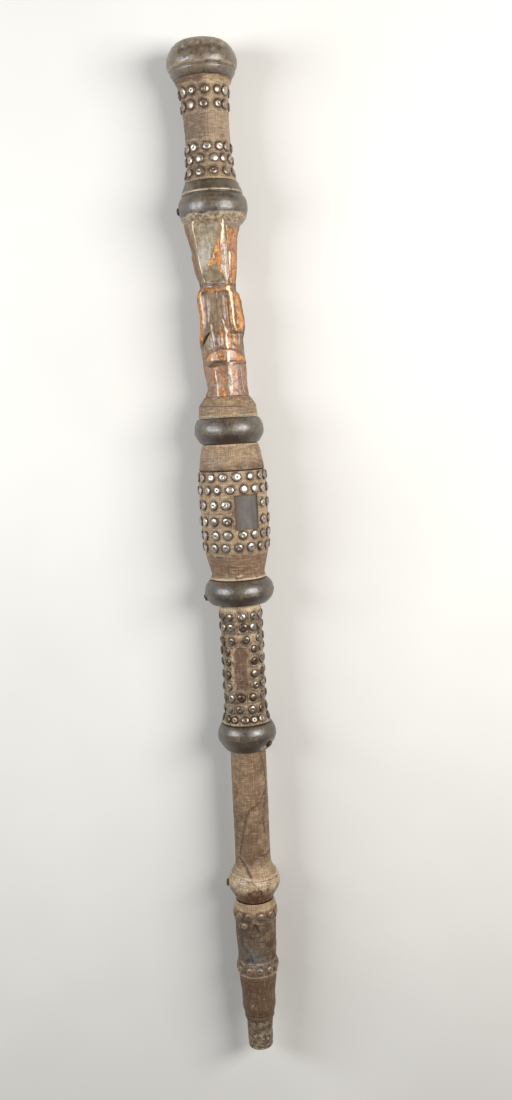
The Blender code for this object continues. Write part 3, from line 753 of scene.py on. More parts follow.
def figure_wood():
    """Reddish carved wood, grey and dull in its hollows, worn orange and glossy where it stands out."""
    m = Recipe("figure_wood")
    grain = m.noise(0.0014, 6, stretch=(1, 0.10, 1), roughness=0.7)
    blotch = m.noise(0.0052, 6, distortion=0.8)
    spots = m.noise(0.0024, 6, stretch=(1, 0.6, 1), roughness=0.65)
    m.base = m.mix(m.within(blotch, 0.30, 0.70), (82, 60, 42), (124, 98, 74))
    red = m.mix(m.within(blotch, 0.32, 0.68), (108, 74, 54), (156, 122, 97))
    m.tint(m.times(m.mask("red"), 0.9), red)
    grey = m.mix(m.spots(0.004, 5, 0.35, 0.65), (108, 95, 73), (140, 126, 100))
    m.tint(m.mask("grey"), grey)
    # Pale ash-grey strands, and painted sheen on the lancet and the legs
    ash_and_sheen = m.mix(m.within(spots, 0.40, 0.60), (144, 128, 115), (194, 178, 166))
    m.tint(m.mask("ash_and_sheen"), ash_and_sheen)
    worn = m.sum(m.mask("worn"), m.times(m.sum(spots, -0.5), 2.2))
    orange = m.mix(m.within(worn, 0.45, 1.15), (134, 78, 28), (206, 146, 66))
    orange = m.mix(m.spots(0.0065, 4, 0.42, 0.60, 0, 0.6), orange, (168, 100, 54))
    m.tint(m.within(worn, 0.30, 0.75, 0, 0.92), orange)
    pits = m.times(m.spots(0.0021, 4, 0.57, 0.66), m.within(m.mask("dull"), 0, 1, 0.8, 0.35))
    m.tint(pits, (78, 48, 30))
    # Painted highlights on ridges, the belt, the lap and the legs
    bright = m.sum(m.mask("bright"), m.times(m.sum(spots, -0.5), 1.6))
    m.tint(m.within(bright, 0.30, 1.0, 0, 0.90), (242, 216, 177))
    m.tint(m.within(grain, 0.52, 0.68, 0, 0.62), (76, 52, 37))
    # Dark spots, and painted shade in cut grooves and hollows
    m.tint(m.mask("dark"), (24, 18, 13))
    rough = m.sum(m.spots(0.004, 5, 0.35, 0.65, 0.30, 0.46), m.times(m.mask("grey"), 0.12))
    rough = m.sum(rough, m.times(m.mask("dull"), 0.30))
    m.bump(grain, 0.00010)
    m.bump(spots, 0.0004)
    m.bump(blotch, 0.0005)
    coat = m.within(m.mask("dull"), 0, 1, 0.50, 0.0)
    return m.finish(Roughness=rough, Coat_Weight=coat, Coat_Roughness=0.28, Specular_IOR_Level=0.45)


def tack_metal():
    """Tarnished brass, dark in the pit, and darkened at the rim by painted shade."""
    m = Recipe("tack_metal")
    tone = m.within(m.mask("tone"), 0, 1)
    m.base = m.mix(tone, (92, 77, 63), (196, 188, 176))
    m.tint(m.spots(0.0022, 5, 0.48, 0.68, 0, 0.7), (98, 78, 58))
    # Painted shade on the dome's sloping side
    m.tint(m.times(m.mask("rim"), 0.90), (58, 43, 31))
    m.tint(m.times(m.mask("pit"), 0.95), (18, 13, 10))
    soil = m.times(m.mask("soil"), m.spots(0.003, 5, 0.35, 0.55, 0.5, 1))
    m.tint(soil, (140, 113, 90))
    rough = m.sum(m.spots(0.0016, 4, 0.3, 0.7, 0.25, 0.36), m.times(m.mask("rim"), 0.25))
    rough = m.sum(rough, m.times(soil, 0.15))
    m.bump(m.noise(0.0014, 4), 0.00008)
    return m.finish(Roughness=rough, Metallic=0.8)


def window_wood():
    """The smooth slate-coloured wood that the window shows."""
    m = Recipe("window_wood")
    streak = m.noise(0.004, 5, stretch=(1, 0.18, 1))
    m.base = m.mix(m.within(streak, 0.3, 0.7), (67, 63, 59), (91, 86, 81))
    m.tint(m.spots(0.008, 4, 0.5, 0.7, 0, 0.5), (84, 74, 60))
    # Painted shade along the window's edges, widest on the left
    m.tint(m.mask("grime_and_shade"), (84, 65, 47))
    m.bump(streak, 0.00006)
    rough = m.spots(0.006, 4, 0.3, 0.7, 0.55, 0.68)
    return m.finish(Roughness=rough)


def tip_wood():
    """Raw wood at the foot, crusted with pale earth."""
    m = Recipe("tip_wood")
    m.base = m.mix(m.spots(0.006, 6, 0.35, 0.65), (76, 61, 46), (124, 108, 86))
    m.tint(m.spots(0.0026, 5, 0.50, 0.64, 0, 0.9, distortion=0.5), (56, 43, 32))
    white = m.spots(0.0024, 6, 0.50, 0.68, roughness=0.7)
    m.tint(m.times(white, m.mask("crust")), (178, 167, 146))
    m.tint(m.mask("pale"), (180, 164, 138))
    m.bump(m.noise(0.0018, 6, roughness=0.7), 0.0006)
    return m.finish(Roughness=0.66)


def floor_material():
    m = Recipe("floor")
    m.base = m.mix(m.spots(0.3, 3, 0.3, 0.7), (202, 200, 196), (208, 206, 202))
    return m.finish(Roughness=0.8)


WOOD = dark_wood()
HIDE = hide_material("hide", 0.50, 0.30, (1.9, 1.25), 0.6)
WOVEN_HIDE = hide_material("shaft_hide", 0.36, 0.33, (2.3, 1.9), 0.6)
WORN_HIDE = hide_material("worn_hide", 0.22, 0.24, (2.1, 1.7), 0.95)
TOE_HIDE = hide_material("toe_hide", 0.16, 0.40, (1.6, 2.6), 0.5)
FIGURE_WOOD = figure_wood()
METAL = tack_metal()
WINDOW_WOOD = window_wood()
TIP_WOOD = tip_wood()


def belong(piece, slot, *nodes):
    """Makes a piece stand for solids: hides them and puts the piece under the root body. The slot is not
    used.
    """
    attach(piece, "root")
    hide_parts(*nodes)


def wood_piece(name, surface, material=WOOD):
    belong(solid(name, surface, material), "wood", "staff")


def cover_piece(node, surface, seed=0, material=HIDE, opening=None, tone=0.7, soil=0.0):
    """A hide cover and its tacks."""
    belong(sleeve(node.replace("_cover", "_hide"), surface, material, opening), "hide", node)
    if surface.tacks:
        name = node.replace("_cover", "_tacks")
        belong(tack_heads(name, surface.tacks, surface.radius_at, seed, tone, soil), "tacks", node)


# The pommel and the rings


def pommel():
    shape = outline(0, (
        (0, 0.2), (0.25, 9), (0.8, 15), (2, 20.6), (4, 24.2), (6.5, 26.8), (9.5, 29), (13, 31), (17, 32.2),
        (20.5, 32.6), (23.5, 32.3), (25.6, 31.6), (26.8, 30.5), (27.5, 29.9), (28.3, 30.3), (30, 29.8),
        (32.5, 28.3), (34.2, 27), (35.2, 26.3), (35.6, 24.6), (39, 20),
    ))
    dome = CAP[1] * 0.55 * (1 - np.cos(np.linspace(0, pi / 2, 46))) ** 1.15
    rest = even_downs(dome[-1], CAP[1] + TENON, FINE_CELL)[1:]
    surface = Surface(np.concatenate((dome, rest)), shape, RING_COLUMNS)
    down = surface.down / MM
    top = 1 - smooth(down + 4.0 * surface.noise(0.009, 11), 8, 18)
    surface.lift((0.40 * top + 0.14) * surface.noise(0.005, 12) * smooth(down, 0.3, 4))
    surface.mark("crust", 0.50 * top)
    # Painted shade in the groove under the lip and in the cove under the grip, and dark speckles in the
    # polish
    surface.mark("grime_and_shade", hump((down - 27.4) / 0.9), 0.7 * hump((down - 34.8) / 1.4))
    surface.mark("grime_and_shade", 0.55 * speckle(surface, 14))
    lip = hump((down - 25.6 + 0.35 * surface.noise(0.01, 13)) / 1.3)
    surface.mark("pale", 0.45 * lip, 0.13 * surface.band(14, 33.8, 6))
    wood_piece("pommel", surface)


def turned_ring(name, stretch, points, seed, grime_and_shade=0.0, bites=()):
    """A polished ring, darkened by painted shade towards its lower edge and at its top, with small knocks."""
    top, foot = stretch
    surface = Surface(even_downs(top, foot, RING_CELL), outline(top, points), RING_COLUMNS)
    surface.lift(0.22 * surface.noise(0.014, seed) + 0.06 * surface.noise(0.003, seed + 1))
    share = (surface.down - top) / (foot - top)
    # Painted shade on the lower half and at the top edge, where the cover meets the ring, and dark speckles
    surface.mark("grime_and_shade", grime_and_shade + smooth(share + 0.06 * surface.noise(0.01, seed + 2), 0.52, 0.88))
    surface.mark("grime_and_shade", 0.8 * (1 - smooth(share, 0.01, 0.09)))
    surface.mark("grime_and_shade", 0.55 * speckle(surface, seed + 3))
    for down, angle, half_length, half_width, depth in bites:
        dent = surface.patch(down, angle, half_length, half_width)
        surface.lift(-depth * dent)
        surface.mark("crust", dent)
    wood_piece(name, surface)
    return surface


def speckle(surface, seed):
    """Fine dark spots in the polish."""
    return surface.spots(0.0028, seed, 0.25, 0.7)


def ring_nail(name, surface, top, below, angle, seed):
    """A nail's head on a ring, this many millimetres below the ring's top."""
    nail = Tack(top + below * MM, angle, NAIL_SIZE)
    belong(tack_heads(name, [nail], surface.radius_at, seed, NAIL_TONE), "tacks", "staff")


def ring_1():
    shape = outline(SHOULDER_TOP, (
        (0, 23.6), (0.5, 24.7), (4, 26.3), (7.5, 27.8), (9.8, 28.6), (10.9, 28.4), (11.7, 27.5), (12.2, 27.7),
        (13.2, 29.4), (15, 30.7), (18, 31.8), (22, 32.3), (26, 32), (29.5, 31.2), (32, 30.2), (34, 29.2),
        (36, 27.8), (38, 26), (40, 24.2), (41.2, 22.6),
    ))
    downs = even_downs(SHOULDER_TOP, SHOULDER_TOP + RING_1_LENGTH, FINE_CELL)
    surface = Surface(downs, shape, FIGURE_COLUMNS)
    down = (surface.down - SHOULDER_TOP) / MM
    ragged = surface.noise(0.009, 22)
    low = smooth(down + 1.6 * ragged, 28.5, 32.5)
    surface.lift((0.10 + 0.40 * low) * surface.noise(0.005, 21) + 0.15 * surface.noise(0.016, 23))
    surface.lift(-0.9 * smooth(down + 2.0 * surface.noise(0.007, 24), 36.0, 40.0))
    surface.mark("crust", low)
    # Dark speckles, a dark line along the crust's edge, and painted shade in the groove and under the grip's
    # edge
    surface.mark("grime_and_shade", 0.50 * speckle(surface, 27), hump((down - 11.7) / 0.8))
    surface.mark("grime_and_shade", 0.75 * hump(down - 0.6), 0.6 * hump(down + 1.6 * ragged - 29.6))
    surface.mark("pale", 0.75 * hump((down - 9.9 + 0.2 * surface.noise(0.008, 25)) / 0.7))
    wood_piece("first_ring", surface)
    ring_nail("first_ring_nail", surface, RING_1_TOP, 11.97, -90, 26)


def ring_2():
    points = (
        (0, 26.2), (0.3, 28.2), (1, 29.4), (2.4, 30.4), (4.5, 31.4), (8, 32.5), (12, 33), (15.5, 32.6),
        (18.5, 31.2), (21, 29.6), (23, 28.2), (24.2, 27), (24.5, 25.4),
    )
    turned_ring("second_ring", RING_2, points, 31)


def ring_3():
    points = (
        (0, 25.4), (0.5, 27.4), (1.5, 28.8), (4.5, 31.2), (8, 32.7), (12, 33.5), (15, 33.4), (18, 32.4),
        (21, 30.4), (23.5, 27.9), (24.6, 26.3), (25, 20),
    )
    bites = ((518, 88, 4.0, 4.0, 0.9), (521, 70, 3.0, 4.0, 0.5), (514, -97, 3.0, 4.0, 0.5))
    surface = turned_ring("third_ring", RING_3, points, 41, 0.25, bites)
    ring_nail("third_ring_nail", surface, RING_3[0], 17.5, -85, 44)


def ring_4():
    points = (
        (0, 21.5), (0.5, 23.6), (1.5, 25.2), (5, 27.2), (9, 28.4), (13, 28.6), (17, 27.5), (21, 25.2),
        (25, 22.6), (26.7, 21), (27.2, 17),
    )
    bites = ((660, 62, 3.0, 3.5, 0.8), (664, 40, 3.0, 4.0, 0.4))
    surface = turned_ring("fourth_ring", RING_4, points, 51, 0.25, bites)
    ring_nail("fourth_ring_nail", surface, RING_4[0], 20.4, 55, 54)


def tip():
    shape = outline(TIP[0], (
        (-3, 12.4), (0, 13.3), (3, 13.2), (10, 12.8), (20, 12.5), (27, 12.2), (30, 11.9), (31, 11.2),
        (31.4, 9.8), (31.48, 4), (31.5, 0.2),
    ))
    side = even_downs(TIP[0] - TENON, TIP[1] - TIP_ROUNDING, RING_CELL)
    end = TIP[1] - TIP_ROUNDING * (1 - np.linspace(0, 1, 14)[1:]) ** 2.2
    surface = Surface(np.concatenate((side, end)), shape, TIP_COLUMNS)
    down = (surface.down - TIP[0]) / MM
    uneven = 0.30 * surface.noise(0.008, 61) - 0.35 * surface.spots(0.006, 62, 0.35, 0.8)
    surface.lift(uneven * smooth(31.4 - down, 0, 3))
    surface.mark("crust", smooth(down + 4 * surface.noise(0.01, 63), 8, 18))
    surface.mark("pale", 0.8 * hump((down - 30.8) / 0.7))
    wood_piece("tip", surface, TIP_WOOD)


# The carved figure. Shares are of its length. Its radii and the rises of its corners and lap are in metres.

FIGURE_LEFT = (
    (-0.04, 0.0284), (0, 0.0284), (0.08, 0.0257), (0.16, 0.0232), (0.22, 0.0228), (0.29, 0.0206),
    (0.335, 0.0181), (0.362, 0.0182), (0.39, 0.0206), (0.42, 0.0214), (0.54, 0.0202), (0.67, 0.0217),
    (0.75, 0.0208), (0.83, 0.0199), (0.95, 0.0177), (1, 0.0203), (1.005, 0.019), (1.02, 0.0188),
)
FIGURE_RIGHT = (
    (-0.04, 0.024), (0, 0.024), (0.08, 0.0206), (0.16, 0.0195), (0.285, 0.0175), (0.345, 0.016),
    (0.385, 0.0158), (0.4, 0.0188), (0.5, 0.0208), (0.585, 0.0218), (0.64, 0.0206), (0.67, 0.0194),
    (0.775, 0.0198), (0.8, 0.0206), (0.925, 0.0204), (1, 0.0212), (1.005, 0.0192), (1.02, 0.0188),
)
HEAD_SHARE = 0.335
Corner = namedtuple("Corner", "angle_top angle_foot rise")
HEAD_CORNERS = (
    Corner(-140, -140, 0.0),
    Corner(-88, -88, 0.0),
    Corner(-46, -43, 0.0007),
    Corner(14, -33, -0.0003),
    Corner(17, 27, 0.0015),
    Corner(38, 40, -0.0012),
    Corner(60, 62, 0.0007),
    Corner(92, 92, 0.0),
    Corner(145, 145, 0.0),
    Corner(220, 220, 0.0),
)

# Strokes cut in the figure: each one's rise in mm, softness, masks and path. A dark mark on a cut
# groove is painted shade, a bright mark a painted highlight, and a pale ash-grey mark partly painted sheen.
STROKES = (
    # The head
    (0.3, 1, {"bright": 0.95}, (
        (163.8, -42.7, 0.9), (171.9, -45.6, 1), (181.4, -46.9, 1), (192.2, -48, 0.9), (200, -45.5, 0.9),
        (208.5, -43.3, 0.8), (218.5, -43.6, 0.8))),
    (-0.25, 1, {"red": 0.9, "worn": 0.35}, (
        (164.6, -34, 1.7), (171.3, -36, 1.8), (177.4, -38.5, 1.4), (186, -41.5, 0.7))),
    (0.35, 0.7, {"ash_and_sheen": 1}, (
        (168, 18.5, 1), (176.7, 19, 2.4), (184.2, 20, 3.6), (193, 21, 4.8), (201.8, 22, 5.8),
        (209.5, 23.5, 5), (215, 27, 3), (220, 29, 1.3))),
    (0.5, 1, {"bright": 1}, (
        (162.8, 17.8, 0.7), (166.3, 18.7, 1.3), (172, 18.6, 1.8), (180, 17, 1.5), (187, 13, 0.7))),
    (0.15, 1, {"bright": 0.75}, ((205, 20, 1), (210, 22, 1.4), (217, 27.5, 1.1))),
    (0, 1, {"worn": 0.9, "bright": 0.3}, ((200, 3, 2.2), (206, 7, 2.4), (211, 12, 1.4))),
    (-0.5, 1, {"dark": 0.7}, ((194.8, -4, 1.2), (196.6, -2.4, 1.4))),
    (0.45, 1, {"bright": 0.8}, ((169.4, 28.4, 0.8), (173.5, 27.8, 1.2))),
    (0.55, 0.35, {"worn": 0.8}, (
        (193.5, 47, 3.6), (198.4, 51.8, 4.4), (204.8, 52, 4.4), (211.2, 53, 4), (219, 54, 3.2))),
    (0.35, 1, {"bright": 0.9}, (
        (192.4, 39.4, 1.3), (195.5, 39.4, 1.9), (200, 39, 1.8), (207, 37.5, 1.4), (215, 36.6, 1))),
    (-0.3, 1, {"dark": 0.45}, ((196, 46, 0.5), (206, 47, 0.6), (217, 47.5, 0.5))),
    (-0.3, 1, {"dark": 0.4}, ((201, 58, 0.5), (216, 59, 0.5))),
    (0.9, 1, {"worn": 0.85}, ((193.2, -86, 1.8), (196.5, -86, 2))),
    (-0.35, 1, {"dark": 0.35}, ((168, -70, 0.7), (186, -66, 0.6), (206, -60, 0.5))),
    # The waist and its belt
    (-0.75, 1, {"dark": 0.45}, (
        (221.5, -95, 0.9), (220.2, -50, 0.9), (221, -17.2, 1), (221.7, 5, 1), (221.6, 28.3, 1),
        (222, 80, 1))),
    (0.3, 1, {"worn": 0.9}, ((225.4, -37, 1.8), (226.4, -30, 1.9))),
    (0.2, 1, {"worn": 0.85}, ((228.3, -20, 1.6), (228, -16, 1.5))),
    (0.2, 1, {"worn": 0.7}, ((225.6, 0, 1.4), (226.4, 4, 1.5))),
    (0.5, 1, {"bright": 0.9}, ((228.6, -6.8, 0.8), (234, -6.4, 0.4))),
    # The bars and the hollow between them
    (-1.9, 0.55, {"grey": 0.25}, (
        (231, -12, 6.5), (240, -11, 9.5), (250, -10, 10), (258, -8, 8), (263, -6, 5))),
    (1.2, 0.65, {"worn": 0.75}, (
        (226, -54, 2.8), (234.4, -53.5, 3.9), (241.5, -52.5, 4.2), (249.3, -52.5, 4.3), (257, -55, 4),
        (264.6, -61, 3.3), (273, -74, 1.4))),
    (0.2, 1, {"bright": 1}, (
        (227.9, -53.5, 1.1), (234.4, -52, 1.3), (241.5, -50, 1.1), (249.3, -50, 1.1), (256, -52, 0.6))),
    (-0.3, 1, {"dark": 0.8}, ((238.6, -66, 1.4), (240.6, -63, 1.4))),
    (-0.3, 1, {"dark": 0.8}, ((243.8, -65, 1.5), (246.4, -63, 1.4))),
    (0.3, 1, {"worn": 0.4}, ((238, -21, 0.9), (248, -18, 1.1), (256, -15, 0.9))),
    (-0.25, 1, {"dark": 0.35}, ((236, -25, 0.5), (250, -24, 0.6), (258, -22.4, 0.6))),
    (0.25, 1, {"red": 0.8}, ((240, -3, 1.2), (251.7, 1.5, 1.6), (259, -2, 1.4))),
    (-0.3, 1, {"dark": 0.38}, ((235, -9, 0.6), (252, -8, 0.8), (260, -8, 0.6))),
    (-0.3, 1, {"dark": 0.38}, ((233, 5, 0.6), (246, 6, 0.7), (258, 7, 0.5))),
    (1.8, 0.75, {"worn": 0.85}, (
        (223.6, 31, 3), (228.7, 30.5, 3.7), (235.8, 31.5, 3.5), (244.9, 31.8, 3.3), (253.4, 31.3, 3),
        (259, 32, 2.9), (263.3, 36, 2.4), (264.3, 44, 1.6))),
    (0.3, 1, {"worn": 0.9}, ((224.6, 19, 1.3), (223.6, 31.6, 1.5), (224.4, 44, 1.3))),
    (-0.8, 1, {"dark": 0.42}, (
        (231.5, 18.8, 0.6), (241.4, 21, 0.9), (250.5, 21.5, 1), (258.9, 22, 1), (265.7, 24.5, 0.9))),
    (0.35, 0.8, {"worn": 0.9}, (
        (231, 50, 3), (241.3, 54, 4.8), (248.3, 58, 6), (257, 62, 6.5), (262.5, 60, 4))),
    (0.5, 1, {"worn": 0.8, "bright": 0.6}, (
        (229.5, 70, 1.2), (237.9, 79, 1.3), (247.4, 89, 1.4), (256.8, 92, 1.6), (264.5, 89, 1.4))),
    (-0.3, 1, {"dark": 0.6}, ((238.4, 41, 0.7), (241.4, 39.5, 0.8))),
    (0.9, 0.9, {"worn": 1}, ((254.8, 47.5, 2.2), (257.6, 48.4, 2.3))),
    (-1.3, 1, {"dark": 0.8}, ((256.6, 48.4, 0.9), (257.8, 49, 0.9))),
    (0.7, 1, {"worn": 1, "bright": 0.4}, (
        (263, 28, 1.2), (264, 40.2, 1.6), (262.4, 52.2, 1.5), (258.5, 61, 1))),
    (-1, 0.9, {"dark": 0.8}, ((266.8, 22, 0.7), (266.4, 40, 1), (265.9, 58, 0.9), (267.2, 80, 0.6))),
    # The forms below the bars
    (0.5, 0.7, {"grey": 0.9, "dull": 0.6}, (
        (269, -36, 1.6), (274.5, -41, 3.4), (280, -48, 4.2), (284.5, -58, 2.6))),
    (-2.2, 0.7, {"dark": 1, "dull": 1}, (
        (265.4, -35, 0.7), (269.3, -46, 1.7), (273.9, -58, 1.6), (277, -67, 0.6))),
    (0.8, 1, {"ash_and_sheen": 0.9, "bright": 0.45}, (
        (258, -27.5, 0.9), (266.5, -24.5, 1.7), (272.2, -21.6, 1.8), (278, -21.5, 1.1))),
    (-0.7, 1, {"dark": 0.55}, ((256, -22, 0.5), (264.4, -19, 0.8), (270.2, -15.5, 0.9), (276, -12.7, 0.6))),
    (0.6, 1, {"worn": 0.75}, ((261, -4, 1), (266.3, -3.4, 2.2), (272.5, -4.6, 2.5), (278, -5.4, 1.4))),
    (-0.4, 1, {"dark": 0.35}, ((262, 2.5, 0.6), (270, 3.6, 0.7), (278, 3.6, 0.5))),
    (0.8, 1, {"ash_and_sheen": 0.8, "bright": 0.7}, (
        (254, 5, 0.9), (260, 8.2, 1.8), (267, 11, 2.3), (275, 11, 2.2), (280, 12.4, 1.4))),
    (0.3, 1, {"worn": 0.7}, ((262, 19, 1.3), (268, 20.4, 1.9), (277, 20, 1.5))),
    (1, 0.8, {"worn": 0.75}, ((269.6, 36, 3.6), (274.6, 36.5, 4))),
    (-0.4, 1, {"dark": 0.35}, ((268.6, 27, 0.5), (274, 25, 0.7), (278.4, 29, 0.5))),
    (0.2, 1, {"ash_and_sheen": 0.7}, ((267.6, 48, 1.2), (271, 53, 1.5), (276.6, 51, 1.5))),
    # The lap and the crescent cut under it
    (-0.45, 1, {"dark": 0.35}, (
        (291, -66, 0.7), (286, -47, 0.8), (282.2, -30, 0.8), (280.4, -6, 0.9), (280.8, 18, 0.9),
        (282.6, 41, 0.8), (287, 64, 0.7), (292, 82, 0.6))),
    (0, 0.9, {"worn": 1, "dull": 0.8}, ((290, -47, 2.4), (286.4, -38, 1.9), (284, -26, 1.2))),
    (0.25, 1, {"bright": 1}, ((285, 13.4, 1.7), (292.6, 12.2, 2))),
    (-1.7, 0.55, {"dark": 0.58, "dull": 1, "grey": 0.95}, (
        (296.6, -50, 0.6), (295.4, -38, 2), (294.8, -29, 2.7), (294.4, -20, 2.8), (294.3, -12, 2.5),
        (294.5, -3, 1.5), (295.2, 5, 0.5))),
    (-0.8, 1, {"dark": 0.5}, ((295.6, 24, 0.5), (295, 38, 0.8), (294.4, 64, 0.9), (295, 84, 0.6))),
    # The legs
    (0.35, 1, {}, ((297.5, -27, 4), (311, -26, 4.2), (326, -21, 4))),
    (0.3, 1, {"dull": 0.35}, ((297.5, 16, 5), (311, 18, 5), (326, 18, 4.6))),
    (0, 1, {"ash_and_sheen": 0.7, "bright": 0.55}, ((314, -25, 1), (319, -23.5, 1.2), (325.4, -19, 1.1))),
    (0, 0.9, {"ash_and_sheen": 0.9, "bright": 0.45}, (
        (297.6, 12.6, 2), (304.8, 14.2, 3), (310.5, 15, 2.8), (316.2, 14.6, 2.4), (325, 14, 2.2))),
    (-0.2, 1, {"worn": 1}, ((317, -9, 1.7), (321.6, -5.4, 2.4), (325.4, -3, 1.8))),
    (-0.9, 0.9, {"dark": 0.4}, ((295, 46, 0.8), (305.2, 48, 0.9), (314.5, 52, 0.8), (324, 53, 0.6))),
    (0.45, 0.9, {"worn": 0.45, "grey": 0.3}, (
        (296.6, 63, 2.8), (305.2, 66, 3.2), (314.5, 71, 3), (323, 71, 2.4))),
    # The plainer sides and back
    (1.1, 0.6, {"worn": 0.4}, ((227, 142, 3.2), (245, 146, 4.2), (262, 149, 3.4))),
    (1.1, 0.6, {"worn": 0.4}, ((227, -138, 3.2), (245, -142, 4.2), (264, -147, 3.4))),
    (-1.2, 0.6, {}, ((232, 182, 5), (246, 182, 7.5), (260, 182, 5.5))),
    (-0.8, 0.9, {"dark": 0.5}, ((294, 150, 0.9), (295, 180, 1.3), (294, 212, 0.9))),
    (-0.7, 1, {"dark": 0.3}, ((300, 178, 1.4), (312, 178, 1.6), (324, 178, 1))),
    (-0.6, 1, {"dark": 0.3}, ((222, 100, 0.9), (221.4, 180, 1), (222, 262, 0.9))),
)

# Touches of colour on it: for each mask, each touch's strength, softness and path. The bright touches
# are painted highlights; the dark ones are painted shade in the waist groove and under the lap, and spots
# beside the left bar.
TOUCHES = {
    "bright": (
        (0.5, 1, ((196, 15, 1.2), (203, 16.5, 1.6))),
        (0.6, 1, ((193.5, 62.8, 0.6), (204.4, 66.3, 0.7), (214, 67.4, 0.6))),
        (1, 0.9, (
            (225.2, 31.5, 2.7), (229, 31, 2.6), (235.8, 31.2, 1.8), (244.9, 31.5, 1.5), (253.4, 30.8, 1.3),
            (260, 32, 0.8))),
        (0.85, 1, ((285.4, -29.7, 0.8), (290.6, -31.6, 1))),
        (0.75, 1, ((298.5, -26, 0.9), (305.4, -25.6, 1.1), (312, -25.3, 1))),
    ),
    "worn": (
        (1, 0.9, ((199, -10, 2), (203, -17, 2.8))),
        (0.95, 0.9, ((173.5, 32.2, 1.5), (178.5, 36.1, 2.2), (183.5, 34.6, 1.6))),
        (0.9, 1, ((172, 62, 1.8), (175.4, 56, 2.2), (181, 54, 1.8))),
        (0.55, 1, ((165.1, -82, 1.3), (170, -86, 1.6), (177, -88, 1.4))),
        (0.5, 1, ((202, -86, 1.4), (206, -84, 1.6), (211, -80, 1.2))),
        (1, 0.9, ((254, -60, 1.8), (261, -62, 2.6), (268, -68, 2.2))),
        (0.8, 1, ((235, 17.2, 1), (248.4, 18.4, 1.3), (258, 18.5, 1.2))),
        (0.9, 0.9, ((283, 0, 1.2), (283.4, 10, 1.5), (284, 22, 1.2))),
        (0.85, 0.9, ((289.4, -4, 1.4), (290.6, 1, 1.6))),
        (0.9, 0.9, ((286, 30, 2.6), (290, 40, 2.8), (288.5, 54, 2.4), (291, 68, 2.2))),
        (0.9, 1, ((308.6, -3, 2), (311.4, -1, 2.1))),
        (0.7, 1, ((300.5, -37, 1.7), (309, -39, 1.8), (314, -40, 1.2))),
        (0.65, 1, ((301, -9, 1.6), (303.6, -2, 2))),
        (0.8, 1, ((301, 30, 2.2), (307, 33, 2.4), (314, 33, 1.8))),
        (0.58, 1, ((228, 52, 7), (245, 56, 10), (262, 52, 9))),
        (0.85, 1, ((228, -68, 4.5), (248, -68, 6), (266, -72, 5))),
        (0.54, 1, ((264, 2, 7), (272, 12, 10), (277, 30, 9))),
        (0.6, 1, ((289, -44, 5), (286.5, -20, 6), (286.5, 10, 6.5), (288, 40, 6.5), (290, 66, 5))),
        (0.5, 1, ((300, -24, 8), (312, -20, 9), (324, -14, 8))),
        (0.5, 1, ((300, 22, 8), (312, 24, 9), (322, 22, 8))),
        (0.55, 1, ((225, -40, 3), (226.5, 0, 3), (225, 40, 3.5))),
        (0.48, 1, ((176, 44, 6), (188, 50, 5))),
        (0.45, 1, ((200, 22, 7), (210, 20, 6))),
    ),
    "red": (
        (0.9, 1, ((181, 43, 2.5), (187, 39, 2.5))),
    ),
    "dark": (
        (0.5, 1, ((221.4, 24, 0.7), (221.6, 44, 0.9), (222, 62, 0.7))),
        (0.7, 1, ((232.6, -72, 1.3), (235, -70, 1.3))),
        (0.7, 1, ((251, -64, 1.3), (253, -62, 1.2))),
        (0.5, 1, ((292.6, -28, 0.6), (291.8, -16, 0.8), (292.8, -3, 0.6))),
    ),
    "grey": (
        (0.6, 1, ((230, -20, 4.5), (238, -22, 4.5), (248, -23, 2))),
        (0.3, 1, ((230, 8, 3.5), (240, 8, 2))),
        (0.7, 1, ((304.5, -4, 1), (306.4, 5, 1.2), (314, 8, 1.3))),
    ),
    "ash_and_sheen": (
        (0.65, 0.8, ((232, -31, 1.3), (243.7, -32.4, 1.6), (255, -34.5, 1.4))),
        (0.65, 0.9, ((233, 10, 1.5), (243.4, 10.5, 1.7), (254, 12, 1.4))),
        (0.6, 0.8, ((242.5, 51, 1.6), (246, 53, 1.8))),
    ),
}
SOFT_SHARE = 0.009
LAP_TOP = 0.720
LAP_FOOT = 0.797
LAP_RISE = 0.0011
LAP_ANGLE = 4
LAP_CURVE = 1.75e-5


def head_facets(share, angle, rounded):
    """The head is an upturned cone of flat facets, with a tall pointed ridge right of its front."""
    down = np.clip(share / HEAD_SHARE, 0, 1)
    around = (angle - HEAD_CORNERS[0].angle_top) % 360 + HEAD_CORNERS[0].angle_top
    radius = rounded(angle)
    for first, second in zip(HEAD_CORNERS, HEAD_CORNERS[1:]):
        start = first.angle_top + (first.angle_foot - first.angle_top) * down
        end = second.angle_top + (second.angle_foot - second.angle_top) * down
        near = rounded(start) + first.rise
        far = rounded(end) + second.rise
        width = np.sin(np.radians(end - start))
        reach = near * np.sin(np.radians(around - start)) + far * np.sin(np.radians(end - around))
        chord = near * far * width / np.where(np.abs(reach) > 1e-9, reach, 1)
        radius = np.where((around >= start) & (around < end), chord, radius)
    return radius


